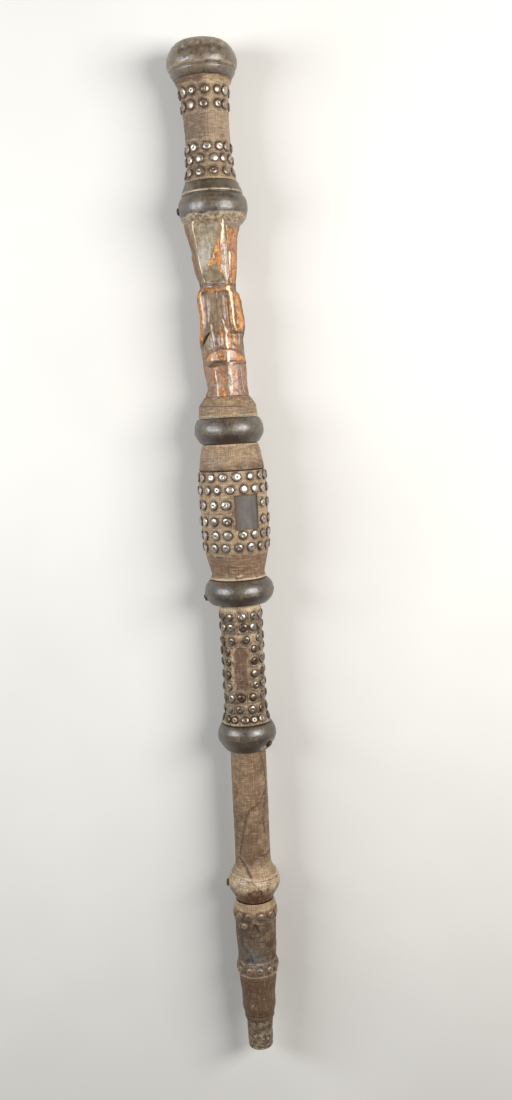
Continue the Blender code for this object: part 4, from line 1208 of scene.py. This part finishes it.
def figure():
    downs = even_downs(FIGURE[0] - FIGURE_TENON, FIGURE[1] + TENON, FIGURE_CELL)
    left_at = curve_through(FIGURE_LEFT)
    right_at = curve_through(FIGURE_RIGHT)
    surface = Surface(downs, lambda down: left_at((down - FIGURE[0]) / FIGURE_LENGTH), FIGURE_COLUMNS)
    share = (surface.down - FIGURE[0]) / FIGURE_LENGTH
    left = left_at(share)
    right = right_at(share)

    def rounded(turn):
        lean = np.sin(np.radians(turn))
        return (left * (1 - lean) + right * (1 + lean)) / 2

    surface.base = rounded(surface.angle)
    wander = surface.noise(0.02, 71, octaves=2)
    faceted = head_facets(share, surface.angle + 1.2 * wander, rounded)
    blend = 1 - smooth(share, HEAD_SHARE - 0.02, HEAD_SHARE + 0.005)
    carved = surface.base + (faceted - surface.base) * blend
    arch = LAP_TOP + LAP_CURVE * turn_from(surface.angle, LAP_ANGLE) ** 2
    carved += LAP_RISE * inside(share + 0.004 * wander, arch, LAP_FOOT, SOFT_SHARE)
    surface.rise = carved - surface.base
    ragged = surface.noise(0.0026, 76, (1, 0.6, 1))
    strokes = list(STROKES)
    for mask, touches in TOUCHES.items():
        strokes += [(0, soft, {mask: amount}, path) for amount, soft, path in touches]
    for rise, soft, masks, path in strokes:
        shape = surface.stroke(path, soft)
        surface.lift(rise * shape)
        for mask, amount in masks.items():
            uneven = 0 if mask == "dark" else 0.45 * ragged
            surface.mark(mask, amount * smooth(shape + uneven, 0.08, 0.58) * (shape > 0.02))
    surface.masks["worn"] *= 1 - 0.8 * surface.masks["ash_and_sheen"]
    surface.rise = soften(surface.rise, 1)
    surface.lift(0.20 * surface.noise(0.005, 72, (1, 0.5, 1)) + 0.07 * surface.noise(0.002, 73))
    surface.lift(-0.8 * (1 - smooth(share, -0.035, -0.005)))
    paint_figure(surface, share)
    wood_piece("carved_figure", surface, FIGURE_WOOD)


def paint_figure(surface, share):
    """Where the figure is worn to orange, where it is grey and dull and where its legs are reddish, and the
    dark spots beside its left bar and painted shade where it lies lower than round about.
    """
    down = surface.down / MM
    angle = surface.angle
    back = np.abs(turn_from(angle, 0))
    proud = (surface.rise - soften(surface.rise, 9)) / MM
    patchy = surface.noise(0.0045, 77, (1, 0.6, 1))

    # The head: a grey panel, a wedge of wear right of it, and the facets beside them
    edge = 15.5 - 0.35 * (down - 164) - 0.0165 * (down - 164) ** 2
    panel = surface.sector(-43, 20, 3) * smooth(edge - angle, -1.5, 1.5) * surface.band(165, 209, 3)
    wedge = smooth(angle - edge, -1, 3) * (1 - smooth(angle, 12, 16)) * inside(down + 3 * patchy, 166, 205, 5)
    beside = surface.sector(29, 95, 5) * surface.band(171, 193, 4)
    below = surface.sector(43, 100, 5) * surface.band(193, 220, 2)
    flank = smooth(-angle, 46, 54) * (1 - smooth(-angle, 95, 110)) * surface.band(162, 219, 4)
    bar_side = surface.sector(-88, -56, 8) * surface.band(227, 272, 6)
    away = smooth(back, 95, 125) * surface.spots(0.011, 74, 0.1, 0.6)

    surface.mark("worn",
                 0.35 * smooth(proud, 0.15, 0.7) * smooth(share, 0.02, 0.1),
                 0.7 * away * smooth(share, 0.03, 0.1) * (1 - smooth(share, 0.95, 1.0)),
                 wedge * (0.76 - 0.28 * smooth(down, 187, 193) + 0.85 * patchy),
                 beside * (0.42 + 0.8 * patchy),
                 below * (0.66 + 0.5 * patchy),
                 bar_side * (0.9 + 0.3 * patchy))
    surface.mark("red", wedge, beside,
                 0.7 * flank * smooth(patchy, -0.3, 0.4),
                 0.9 * smooth(share, 0.70, 0.78))
    surface.mark("dull",
                 0.85 * smooth(back, 50, 72),
                 0.8 * surface.sector(-42, 25, 6) * surface.band(229, 268, 6))
    # Dark spots beside the left bar, and painted shade where the surface lies lower than round about
    surface.mark("dark",
                 0.75 * bar_side * surface.spots(0.0035, 78, 0.15, 0.5, (1, 0.7, 1)) * (down < 263),
                 0.40 * smooth(-proud, 0.35, 1.0))
    surface.mark("grey", panel,
                 0.75 * surface.band(204, 219, 5) * surface.sector(-38, 14, 10),
                 0.6 * (1 - smooth(share, 0.0, 0.07)),
                 0.25 * smooth(back, 60, 90) * surface.band(164, 218, 8),
                 0.4 * smooth(back, 75, 110) * smooth(-surface.noise(0.018, 75), -0.6, 0.8))


# The hide covers


def hide_surface(stretch, points, seed, edge_top=0.0, edge_foot=0.0, columns=None, cell=CELL):
    """A cover's surface, with soft edges that curl up by this much (mm) and are pale where they do."""
    top = stretch[0] + HIDE_GAP
    foot = stretch[1] - HIDE_GAP
    surface = Surface(even_downs(top, foot, cell), outline(stretch[0], points), columns)
    surface.lift(0.16 * surface.noise(0.012, seed) + 0.07 * surface.noise(0.003, seed + 1))
    for gap, curl, shift in ((surface.down - top, edge_top, 2), (foot - surface.down, edge_foot, 3)):
        gap = gap / MM
        uneven = surface.noise(0.007, seed + shift)
        surface.lift(curl * hump(gap - 1.0 - 0.4 * uneven) - 0.45 * (1 - smooth(gap, 0, 0.9)))
        if curl:
            surface.mark("pale", min(curl * 1.6, 1.0) * (1 - smooth(gap + 0.7 * uneven, 1.0, 2.8)))
    return surface


def grip():
    points = (
        (0, 26.7), (2.5, 25.5), (5, 24.1), (7.4, 23.2), (12, 22.3), (23, 21.4), (40, 20.9), (60, 20.7),
        (75, 21), (81, 21.5), (86, 22.4), (89.5, 23.4), (92.1, 24),
    )
    surface = hide_surface(GRIP, points, 101, edge_foot=0.3)
    press_tacks(surface, rows_of_tacks(surface, GRIP, GRIP_ROWS))
    surface.line(((60, 6.6), (66.6, 6.4), (76.2, 4.3), (92, 4.5)), 0.45, -0.30, "dark", 0.45)
    beyond = turn_from(surface.angle, 5.5)
    surface.lift(0.25 * smooth(beyond, -1.5, 1.5) * (1 - smooth(beyond, 10, 40)) * surface.band(62, 93, 6))
    surface.mark("stain",
                 0.78 * surface.sector(-95, 2, 20),
                 0.45 * surface.spots(0.013, 105, 0.1, 0.7),
                 0.7 * (1 - smooth(surface.down / MM, 36.5, 38.5)))
    surface.mark("grey", 0.25 * surface.band(58, 94, 8))
    surface.line(((128, 178), (36, 176)), 0.6, -0.3, "dark", 0.7)
    cover_piece("grip_cover", surface, 106, tone=0.55, soil=0.2)


def collar():
    points = ((0, 21.9), (1.5, 22.5), (4, 24.2), (6.5, 26), (8.5, 27), (12, 27.5), (16, 27.9), (20, 28.1))
    surface = hide_surface(COLLAR, points, 111, edge_foot=0.55, cell=FINE_CELL)
    for i, down in enumerate((330.0, 331.6, 334.4, 336.2, 338.1, 339.7, 341.2)):
        surface.line(wavy(down, 0.5, 0.05, 20, i), 0.30, -0.16, "stain", 0.6)
    crack = [(332.2 + 0.026 * (angle + 70), angle) for angle in range(-90, 31, 20)]
    # Painted shade in a crack, and along the lower edge where the collar meets the second ring
    surface.line(crack, 0.40, -0.45, "dark", 0.85)
    surface.line(wavy(343.1, 0.2, 0.07, 20), 0.35, -0.45, "dark", 0.8)
    surface.mark("red", 0.7 * (1 - smooth(surface.down / MM + surface.noise(0.009, 114), 325, 328)))
    surface.mark("red", 0.6 * surface.patch(330, -30, 4, 3))
    surface.mark("pale", 0.35 * surface.patch(333, 45, 9, 6))
    surface.mark("stain", 0.35)
    cover_piece("collar_cover", surface)


def neck():
    points = ((0, 26.3), (2, 26.9), (6, 28.2), (10.6, 29.2), (17, 30.2), (23, 31), (25.3, 31.3))
    surface = hide_surface(NECK, points, 121, edge_top=0.35, cell=RING_CELL)
    down = surface.down / MM
    surface.mark("stain", 0.30 + 0.40 * smooth(down + 2.5 * np.sin(np.radians(surface.angle)), 384, 393))
    # Painted shade along the lower edge, where the neck meets the belly's cover
    surface.mark("dark", 0.75 * smooth(down + 0.5 * surface.noise(0.01, 125), 392.6, 393.8))
    surface.lift(-0.06 * surface.spots(0.006, 124, 0.0, 0.5))
    # A painted grey sheen on the left
    surface.mark("grey", 0.5 * surface.patch(384, -38, 8, 6))
    surface.line(((371, -8), (378, -6), (386, -9)), 0.8, 0.12, "pale", 0.4)
    cover_piece("neck_cover", surface)


def belly():
    points = (
        (0, 31.2), (4, 31.7), (12, 32), (19, 32.1), (47, 32.1), (60, 31.7), (74, 30.5), (84, 28.9), (92, 27),
        (97, 25.9), (99, 25.6), (101.5, 26.1), (104.2, 27.3),
    )
    surface = hide_surface(BELLY, points, 131, edge_foot=0.8, columns=RING_COLUMNS)
    tacks = rows_of_tacks(surface, BELLY, BELLY_ROWS)
    press_tacks(surface, [tack for tack in tacks if outside_window(tack)])
    opening = press_window(surface)
    # The dark lines are painted shade in creases, except the seam down the back
    surface.lines(
        (((434.6, -62), (433.9, -40), (434.5, -18), (433.9, -8)), 0.5, -0.35, "dark", 0.55),
        (((474.6, -47), (473.4, -34), (474.1, -22)), 0.5, 0.25, "pale", 0.8),
        (((476.2, -40), (475.6, -26)), 0.5, -0.2, "dark", 0.4),
        (((483.5, -11), (484.2, 2), (484.4, 16)), 0.6, 0.35, "pale", 0.6),
        (((486.4, -17), (487, -6), (486.8, 4)), 0.6, 0.3, "pale", 0.5),
        (((485.2, -14), (485.6, 12)), 0.5, -0.3, "dark", 0.6),
        (((483.5, -19), (490, -20)), 0.5, -0.2, "dark", 0.4),
        (((494.6, -1), (493.9, 7)), 1.4, 1.3, "pale", 0.8),
        (((496, -4), (496.1, 8)), 0.7, -0.7, "dark", 0.9),
        (((499, -30), (497.8, -6), (496.2, 8)), 0.6, 0.3, "pale", 0.7),
        (((496, 176), (396, 179)), 0.6, -0.35, "dark", 0.7),
        (wavy(470.5, 0.8, 0.06, 15), 0.6, -0.15, "stain", 0.5),
        *((wavy(493 + 1.1 * i, 0.7, 0.09, 15, 2 * i), 0.35, -0.18, "stain", 0.6) for i in range(7)),
    )
    down = surface.down / MM
    surface.mark("stain",
                 0.55 * smooth(down, 466, 474) * (1 - smooth(down, 494, 498)),
                 0.35 * surface.spots(0.012, 135, 0.0, 0.6))
    surface.mark("red", 0.45 * surface.spots(0.009, 137, -0.3, 0.4) * surface.band(474, 497, 6))
    surface.mark("pale", 0.55 * smooth(down + 0.9 * surface.noise(0.006, 138), 494.8, 497.4))
    cover_piece("belly_cover", surface, 136, opening=opening)
    belly_window(surface.radius_at)


def window_side(angle):
    """How far a point of the belly is to the right of its window's middle."""
    return BELLY_RADIUS * np.sin(np.radians(angle - WINDOW_ANGLE))


def press_window(surface):
    """The belly's hide drawn down and dark round its window. Gives the cells that the window cuts out."""
    down = surface.down
    across = window_side(surface.angle)
    front = np.abs(turn_from(surface.angle, WINDOW_ANGLE)) < 90
    top = BELLY[0] + WINDOW_TOP
    foot = top + WINDOW_LENGTH
    beyond = np.maximum(np.abs(across) - WINDOW_WIDTH / 2, np.maximum(top - down, down - foot))
    beyond = np.maximum(np.where(front, beyond, 1.0) / MM, 0)
    surface.lift(-1.0 * (1 - smooth(beyond, 0.0, 1.8)))
    left_gap = (-across - WINDOW_WIDTH / 2) / MM
    left_side = front * (1 - smooth(left_gap, 2.5, 8.0)) * (left_gap > 0) * inside(down, top, foot, 4 * MM)
    surface.mark("stain", 0.5 * hump(beyond / 2.0), left_side)
    surface.lift(-0.6 * left_side * smooth(beyond, 0.5, 2.0))
    cell_down = (down[:-1] + down[1:]) / 2
    cell_across = window_side(surface.angle[:-1] + 180 / surface.columns)
    opening = (np.abs(cell_across) < WINDOW_WIDTH / 2) & front[:-1]
    return opening & (cell_down > top) & (cell_down < foot)


def outside_window(tack):
    """Whether a tack of the belly is on its hide, and not in its window."""
    along = tack.down - BELLY[0] - WINDOW_TOP
    across = window_side(tack.angle)
    behind = abs(turn_from(tack.angle, WINDOW_ANGLE)) > 90
    return behind or not (0 < along < WINDOW_LENGTH and abs(across) < WINDOW_WIDTH / 2)


def belly_window(radius_at):
    """The wood under the belly's cover, which its window shows."""
    top = BELLY[0] + WINDOW_TOP
    depth = HIDE_THICKNESS + HIDE_GAP
    downs = even_downs(top - WINDOW_MARGIN, top + WINDOW_LENGTH + WINDOW_MARGIN)
    surface = Surface(downs, lambda down: radius_at(down) - depth, RING_COLUMNS)
    surface.lift(0.06 * surface.noise(0.006, 141, (1, 0.3, 1)))
    across = window_side(surface.angle) / MM
    down = (surface.down - top) / MM
    # Painted shade along the window's edges, widest on the left
    surface.mark("grime_and_shade",
                 0.85 * (1 - smooth(across + 1.5 * surface.noise(0.006, 142, (1, 0.3, 1)), -12.0, -4.5)),
                 0.4 * smooth(across, 11.2, 12.6),
                 0.5 * (1 - smooth(down, 0.0, 2.0)) + 0.4 * smooth(down, 30.6, 32.0))
    wood_piece("belly_core", surface, WINDOW_WOOD)


def upper_shaft():
    points = (
        (0, 19.4), (30, 19.5), (60, 19.4), (95, 19.3), (103, 19.6), (109, 20.4), (113.5, 21.7), (117.3, 23.2),
    )
    surface = hide_surface(UPPER_SHAFT, points, 151, edge_top=0.2, edge_foot=0.5)
    tacks = rows_of_tacks(surface, UPPER_SHAFT, UPPER_SHAFT_ROWS)
    press_tacks(surface, tacks, swell=0.9, stain=0.1, valley=1.0)
    down = surface.down / MM
    path = ((562, -2, 6.0), (568, -3, 10.5), (580, -4, 13.0), (600, -5, 13.5), (606, -6, 12.0))
    blank = smooth(surface.stroke(path, 0.8) + 0.32 * surface.noise(0.005, 153), 0.10, 0.55)
    surface.mark("stain", blank * (0.80 + 0.35 * surface.noise(0.008, 154)))
    surface.mark("dark", 0.50 * blank * surface.spots(0.0030, 158, 0.0, 0.5) * smooth(down, 582, 602))
    surface.lift(0.35 * surface.noise(0.008, 155) - 0.55 * blank)
    foot_row = tacks[-1].down / MM
    shares = [row.share for row in UPPER_SHAFT_ROWS]
    rows = np.interp(shares, (shares[0], shares[-1]), (tacks[0].down / MM, foot_row))
    # Painted shade in the creases between the top rows and between the bottom rows
    for i in (0, 1, 7, 8):
        path = wavy((rows[i] + rows[i + 1]) / 2, 0.7, 0.09, 12, i)
        surface.line(path, 0.9, -0.60, "dark", 0.40)
        surface.mark("crevice_shade", 0.6 * hump(surface.near(path) / 1.5))
    # Painted shade along both sides of the last row
    for edge in (-6.2, 5.4):
        surface.line(wavy(foot_row + edge, 0.6, 0.12, 12), 0.45, -0.45, "dark", 0.75)
    surface.mark("pale",
                 0.55 * smooth(down, 633, 638),
                 0.78 * (1 - blank) * surface.spots(0.009, 156, -0.7, 0.3))
    surface.mark("stain", 0.5 * (1 - smooth(down, 524, 530)))
    surface.line(((640, 178), (524, 180)), 0.6, -0.35, "dark", 0.7)
    cover_piece("upper_shaft_cover", surface, 157, WORN_HIDE, tone=0.30)


def shaft():
    points = (
        (0, 17.4), (60, 17.6), (100, 17.4), (114, 17.6), (118.5, 18.2), (122, 19.8), (125, 21.8), (129, 24.2),
        (133, 25.8), (136.5, 26.1), (140, 25.2), (144, 23), (148, 20.6), (151.5, 18.8), (153.8, 18),
    )
    surface = hide_surface(SHAFT, points, 161, cell=SHAFT_CELL, columns=SHAFT_COLUMNS)
    down = surface.down / MM
    seams = (
        (0.34, ((706, 62), (712, 50), (718.6, 36.1), (723, 14), (726.6, -4.4), (733.5, -16.9), (747.9, -27.2),
                (759.9, -35.8), (773.5, -46.5))),
        (0.255, ((667.6, 43.9), (680, 53), (693.2, 62.2), (706, 64), (722.7, 50.5), (738.1, 41),
                 (750.5, 47.4))),
        (0.6375, ((774.7, -48.8), (782.9, -24.7), (791.5, -9))),
        (0.3825, ((773.5, 22), (774, 40), (772, 66), (770, 96))),
        (0.68, ((796.4, -5.3), (801.8, 7.1), (806, 14), (810.2, 17.7), (816, 20))),
    )
    for darkness, path in seams:
        surface.line(path, 0.60, -0.50, "dark", darkness)
        surface.mark("stain", 0.80 * hump(surface.near(path) / 2.6))
    surface.mark("dark", 0.9 * hump(surface.near([(791.6, -7.2), (792.2, -6.6)])))
    rim = 795.0 + 0.9 * surface.noise(0.006, 165) + 1.2 * np.sin(np.radians(surface.angle * 2 + 30))
    surface.lift(0.55 * (1 - smooth(down, rim - 0.4, rim + 0.4)) * smooth(down, 780, 792))
    ring = smooth(down, rim - 1.5, rim + 1.0)
    surface.mark("pale", 0.75 * hump((down - rim + 0.3) / 1.2))
    # Painted shade just below the torn edge's lip
    surface.mark("dark", 0.65 * hump((down - rim - 1.0) / 0.45) * (surface.noise(0.008, 166) > -0.2))
    fade = 1 - smooth(down + 2.0 * surface.noise(0.01, 167), 802, 810)
    surface.mark("pale", ring * fade * (0.50 + 0.25 * surface.noise(0.005, 164)))
    low = smooth(down + 1.6 * surface.noise(0.009, 168), 806, 813)
    surface.mark("red", 0.85 * low, 0.22 * surface.spots(0.02, 172, -0.2, 0.5) * (1 - smooth(down, 700, 750)))
    surface.mark("dark", 0.28 * low)
    surface.mark("stain",
                 smooth(down, 809, 815),
                 0.8 * ring * surface.spots(0.0045, 171, 0.1, 0.5),
                 (0.42 + 0.28 * surface.spots(0.016, 169, -0.3, 0.6)) * (1 - smooth(down, 780, 790)))
    surface.mark("gloss", ring)
    surface.mark("grey", 0.6 * surface.patch(800, -35, 5, 7))
    for fold in range(-70, -33, 9):
        surface.lift(0.35 * hump(surface.near(((787, fold), (794, fold - 6), (800, fold - 9))) / 0.7))
    surface.line(((786, 178), (668, 182)), 0.5, -0.35, "dark", 0.7)
    surface.tacks = [Tack(SHAFT[0] + SHAFT_NAIL_DOWN, -85, NAIL_SIZE)]
    cover_piece("shaft_cover", surface, 170, WOVEN_HIDE, tone=NAIL_TONE)


def foot():
    points = (
        (0, 19.2), (4, 20), (9, 20.3), (20, 20.2), (34, 20), (48, 19.3), (56, 18.7), (61, 18.5), (63.5, 19.1),
        (66.5, 19.4), (74, 19.3), (77.2, 19),
    )
    surface = hide_surface(FOOT, points, 171, edge_foot=0.35)
    tacks = rows_of_tacks(surface, FOOT, FOOT_ROWS)
    tacks.append(Tack(FOOT[0] + (FOOT[1] - FOOT[0]) * 0.29, -33, 0.95))
    press_tacks(surface, tacks, swell=0.9, stain=0.4, valley=0.8)
    down = surface.down / MM
    surface.mark("stain", (0.92 + 0.5 * surface.noise(0.006, 174)) * surface.band(838, 888, 5))
    surface.mark("dark", 0.55 * surface.spots(0.005, 173, 0.1, 0.6) * surface.band(836, 886, 6))
    surface.mark("blue", surface.patch(876, -18, 14, 12), 0.9 * surface.patch(881, 8, 9, 9))
    surface.mark("pale", 0.35 * smooth(down, 885, 889), 0.30 * (1 - smooth(down, 824, 832)))
    surface.lift(0.45 * surface.noise(0.006, 175) * surface.band(836, 885, 5))
    # The dark lines are painted shade in creases and just below the last row of tacks, and one is a seam down
    # the back
    surface.lines(
        (((841.5, -3), (845, 1), (850.2, 8)), 1.3, -1.0, "dark", 0.8),
        (((840.5, -8), (841, 12)), 0.9, 0.7, "pale", 0.5),
        (((842, -46), (842.5, -30)), 0.8, 0.8, "pale", 0.6),
        (wavy(885.5, 0.9, 0.10, 12), 0.5, -0.6, "dark", 0.7),
        (((840, -20), (856, -24), (868, -20)), 0.5, -0.25, "dark", 0.4),
        (((892, 178), (824, 181)), 0.6, -0.35, "dark", 0.7),
    )
    cover_piece("foot_cover", surface, 176, WORN_HIDE, tone=0.6, soil=0.7)


def toe():
    points = (
        (0, 18.6), (4, 18.5), (10, 18), (16, 17.1), (22, 16.7), (33, 16.7), (37, 16.2), (40.5, 15.2),
        (43, 14.8), (47.5, 14.7),
    )
    surface = hide_surface(TOE, points, 181)
    chance = np.random.default_rng(182)
    for angle in np.linspace(-176, 176, 44):
        start = chance.uniform(902, 912)
        end = start + chance.uniform(10, 28)
        drift = chance.uniform(-2, 2)
        surface.line(((start, angle), (end, angle + drift)), 0.35, -0.16, "stain", 0.6)
    surface.mark("stain", 0.97)
    surface.mark("red", 0.12 * surface.spots(0.006, 184, -0.3, 0.5, (1, 0.3, 1)))
    surface.mark("pale", 0.6 * surface.patch(928, -22, 2.0, 1.3))
    # Painted shade along the lower edge, where the tip comes out
    surface.line(wavy(941.5, 0.5, 0.08, 15), 0.45, -0.40, "dark", 0.75)
    surface.lift(0.15 * surface.noise(0.006, 183, (1, 0.3, 1)))
    cover_piece("toe_cover", surface, material=TOE_HIDE)


# The studio


def area_light(name, place, aim, width, length, power, colour):
    light = bpy.data.lights.new(name, "AREA")
    light.shape = "RECTANGLE"
    light.size = width
    light.size_y = length
    light.energy = power
    light.color = colour
    lamp = bpy.data.objects.new(name, light)
    bpy.context.scene.collection.objects.link(lamp)
    lamp.location = place
    lamp.rotation_euler = (Vector(aim) - Vector(place)).to_track_quat("-Z", "Y").to_euler()


def studio():
    side = 3.0
    points = np.array(((-side, -side, 0), (side, -side, 0), (side, side, 0), (-side, side, 0)))
    floor = mesh_object("floor", points, [[0, 1, 2, 3]], floor_material(), {})
    area_light("left_strip", (-1.10, 0.36, 0.85), (0, 0.24, 0), 0.45, 0.95, 19, (0.94, 0.97, 1.0))
    area_light("right_strip", (0.90, 0.32, 1.00), (0, 0.24, 0), 0.50, 0.95, 25, (1.0, 0.98, 0.95))
    world = bpy.data.worlds.new("studio")
    world.use_nodes = True
    background = world.node_tree.nodes["Background"]
    background.inputs["Color"].default_value = (1.0, 0.98, 0.95, 1)
    background.inputs["Strength"].default_value = 0.22
    bpy.context.scene.world = world
    bpy.context.scene.view_settings.view_transform = "Standard"


def camera():
    lens = bpy.data.cameras.new("camera")
    lens.sensor_fit = "VERTICAL"
    lens.sensor_height = SENSOR_HEIGHT
    lens.lens = FOCAL_PIXELS / PHOTO_HEIGHT * SENSOR_HEIGHT
    made = bpy.data.objects.new("camera", lens)
    bpy.context.scene.collection.objects.link(made)
    pitch = radians(CAMERA_PITCH)
    roll = radians(CAMERA_ROLL)
    forward = Vector((0, -sin(pitch), -cos(pitch)))
    right = forward.cross(Vector((sin(roll), cos(roll), 0))).normalized()
    up = right.cross(forward)
    turned = Matrix((right, up, -forward)).transposed().to_4x4()
    x = float(axis_x(CAMERA_DOWN)) + CAMERA_SIDE
    place = Vector((x, CAD_BOX[1][1] - CAMERA_DOWN, AXIS_HEIGHT + CAMERA_ABOVE_AXIS))
    made.matrix_world = Matrix.Translation(place) @ turned
    bpy.context.scene.camera = made


camera()
studio()
pommel()
grip()
ring_1()
figure()
collar()
ring_2()
neck()
belly()
ring_3()
upper_shaft()
ring_4()
shaft()
foot()
toe()
tip()
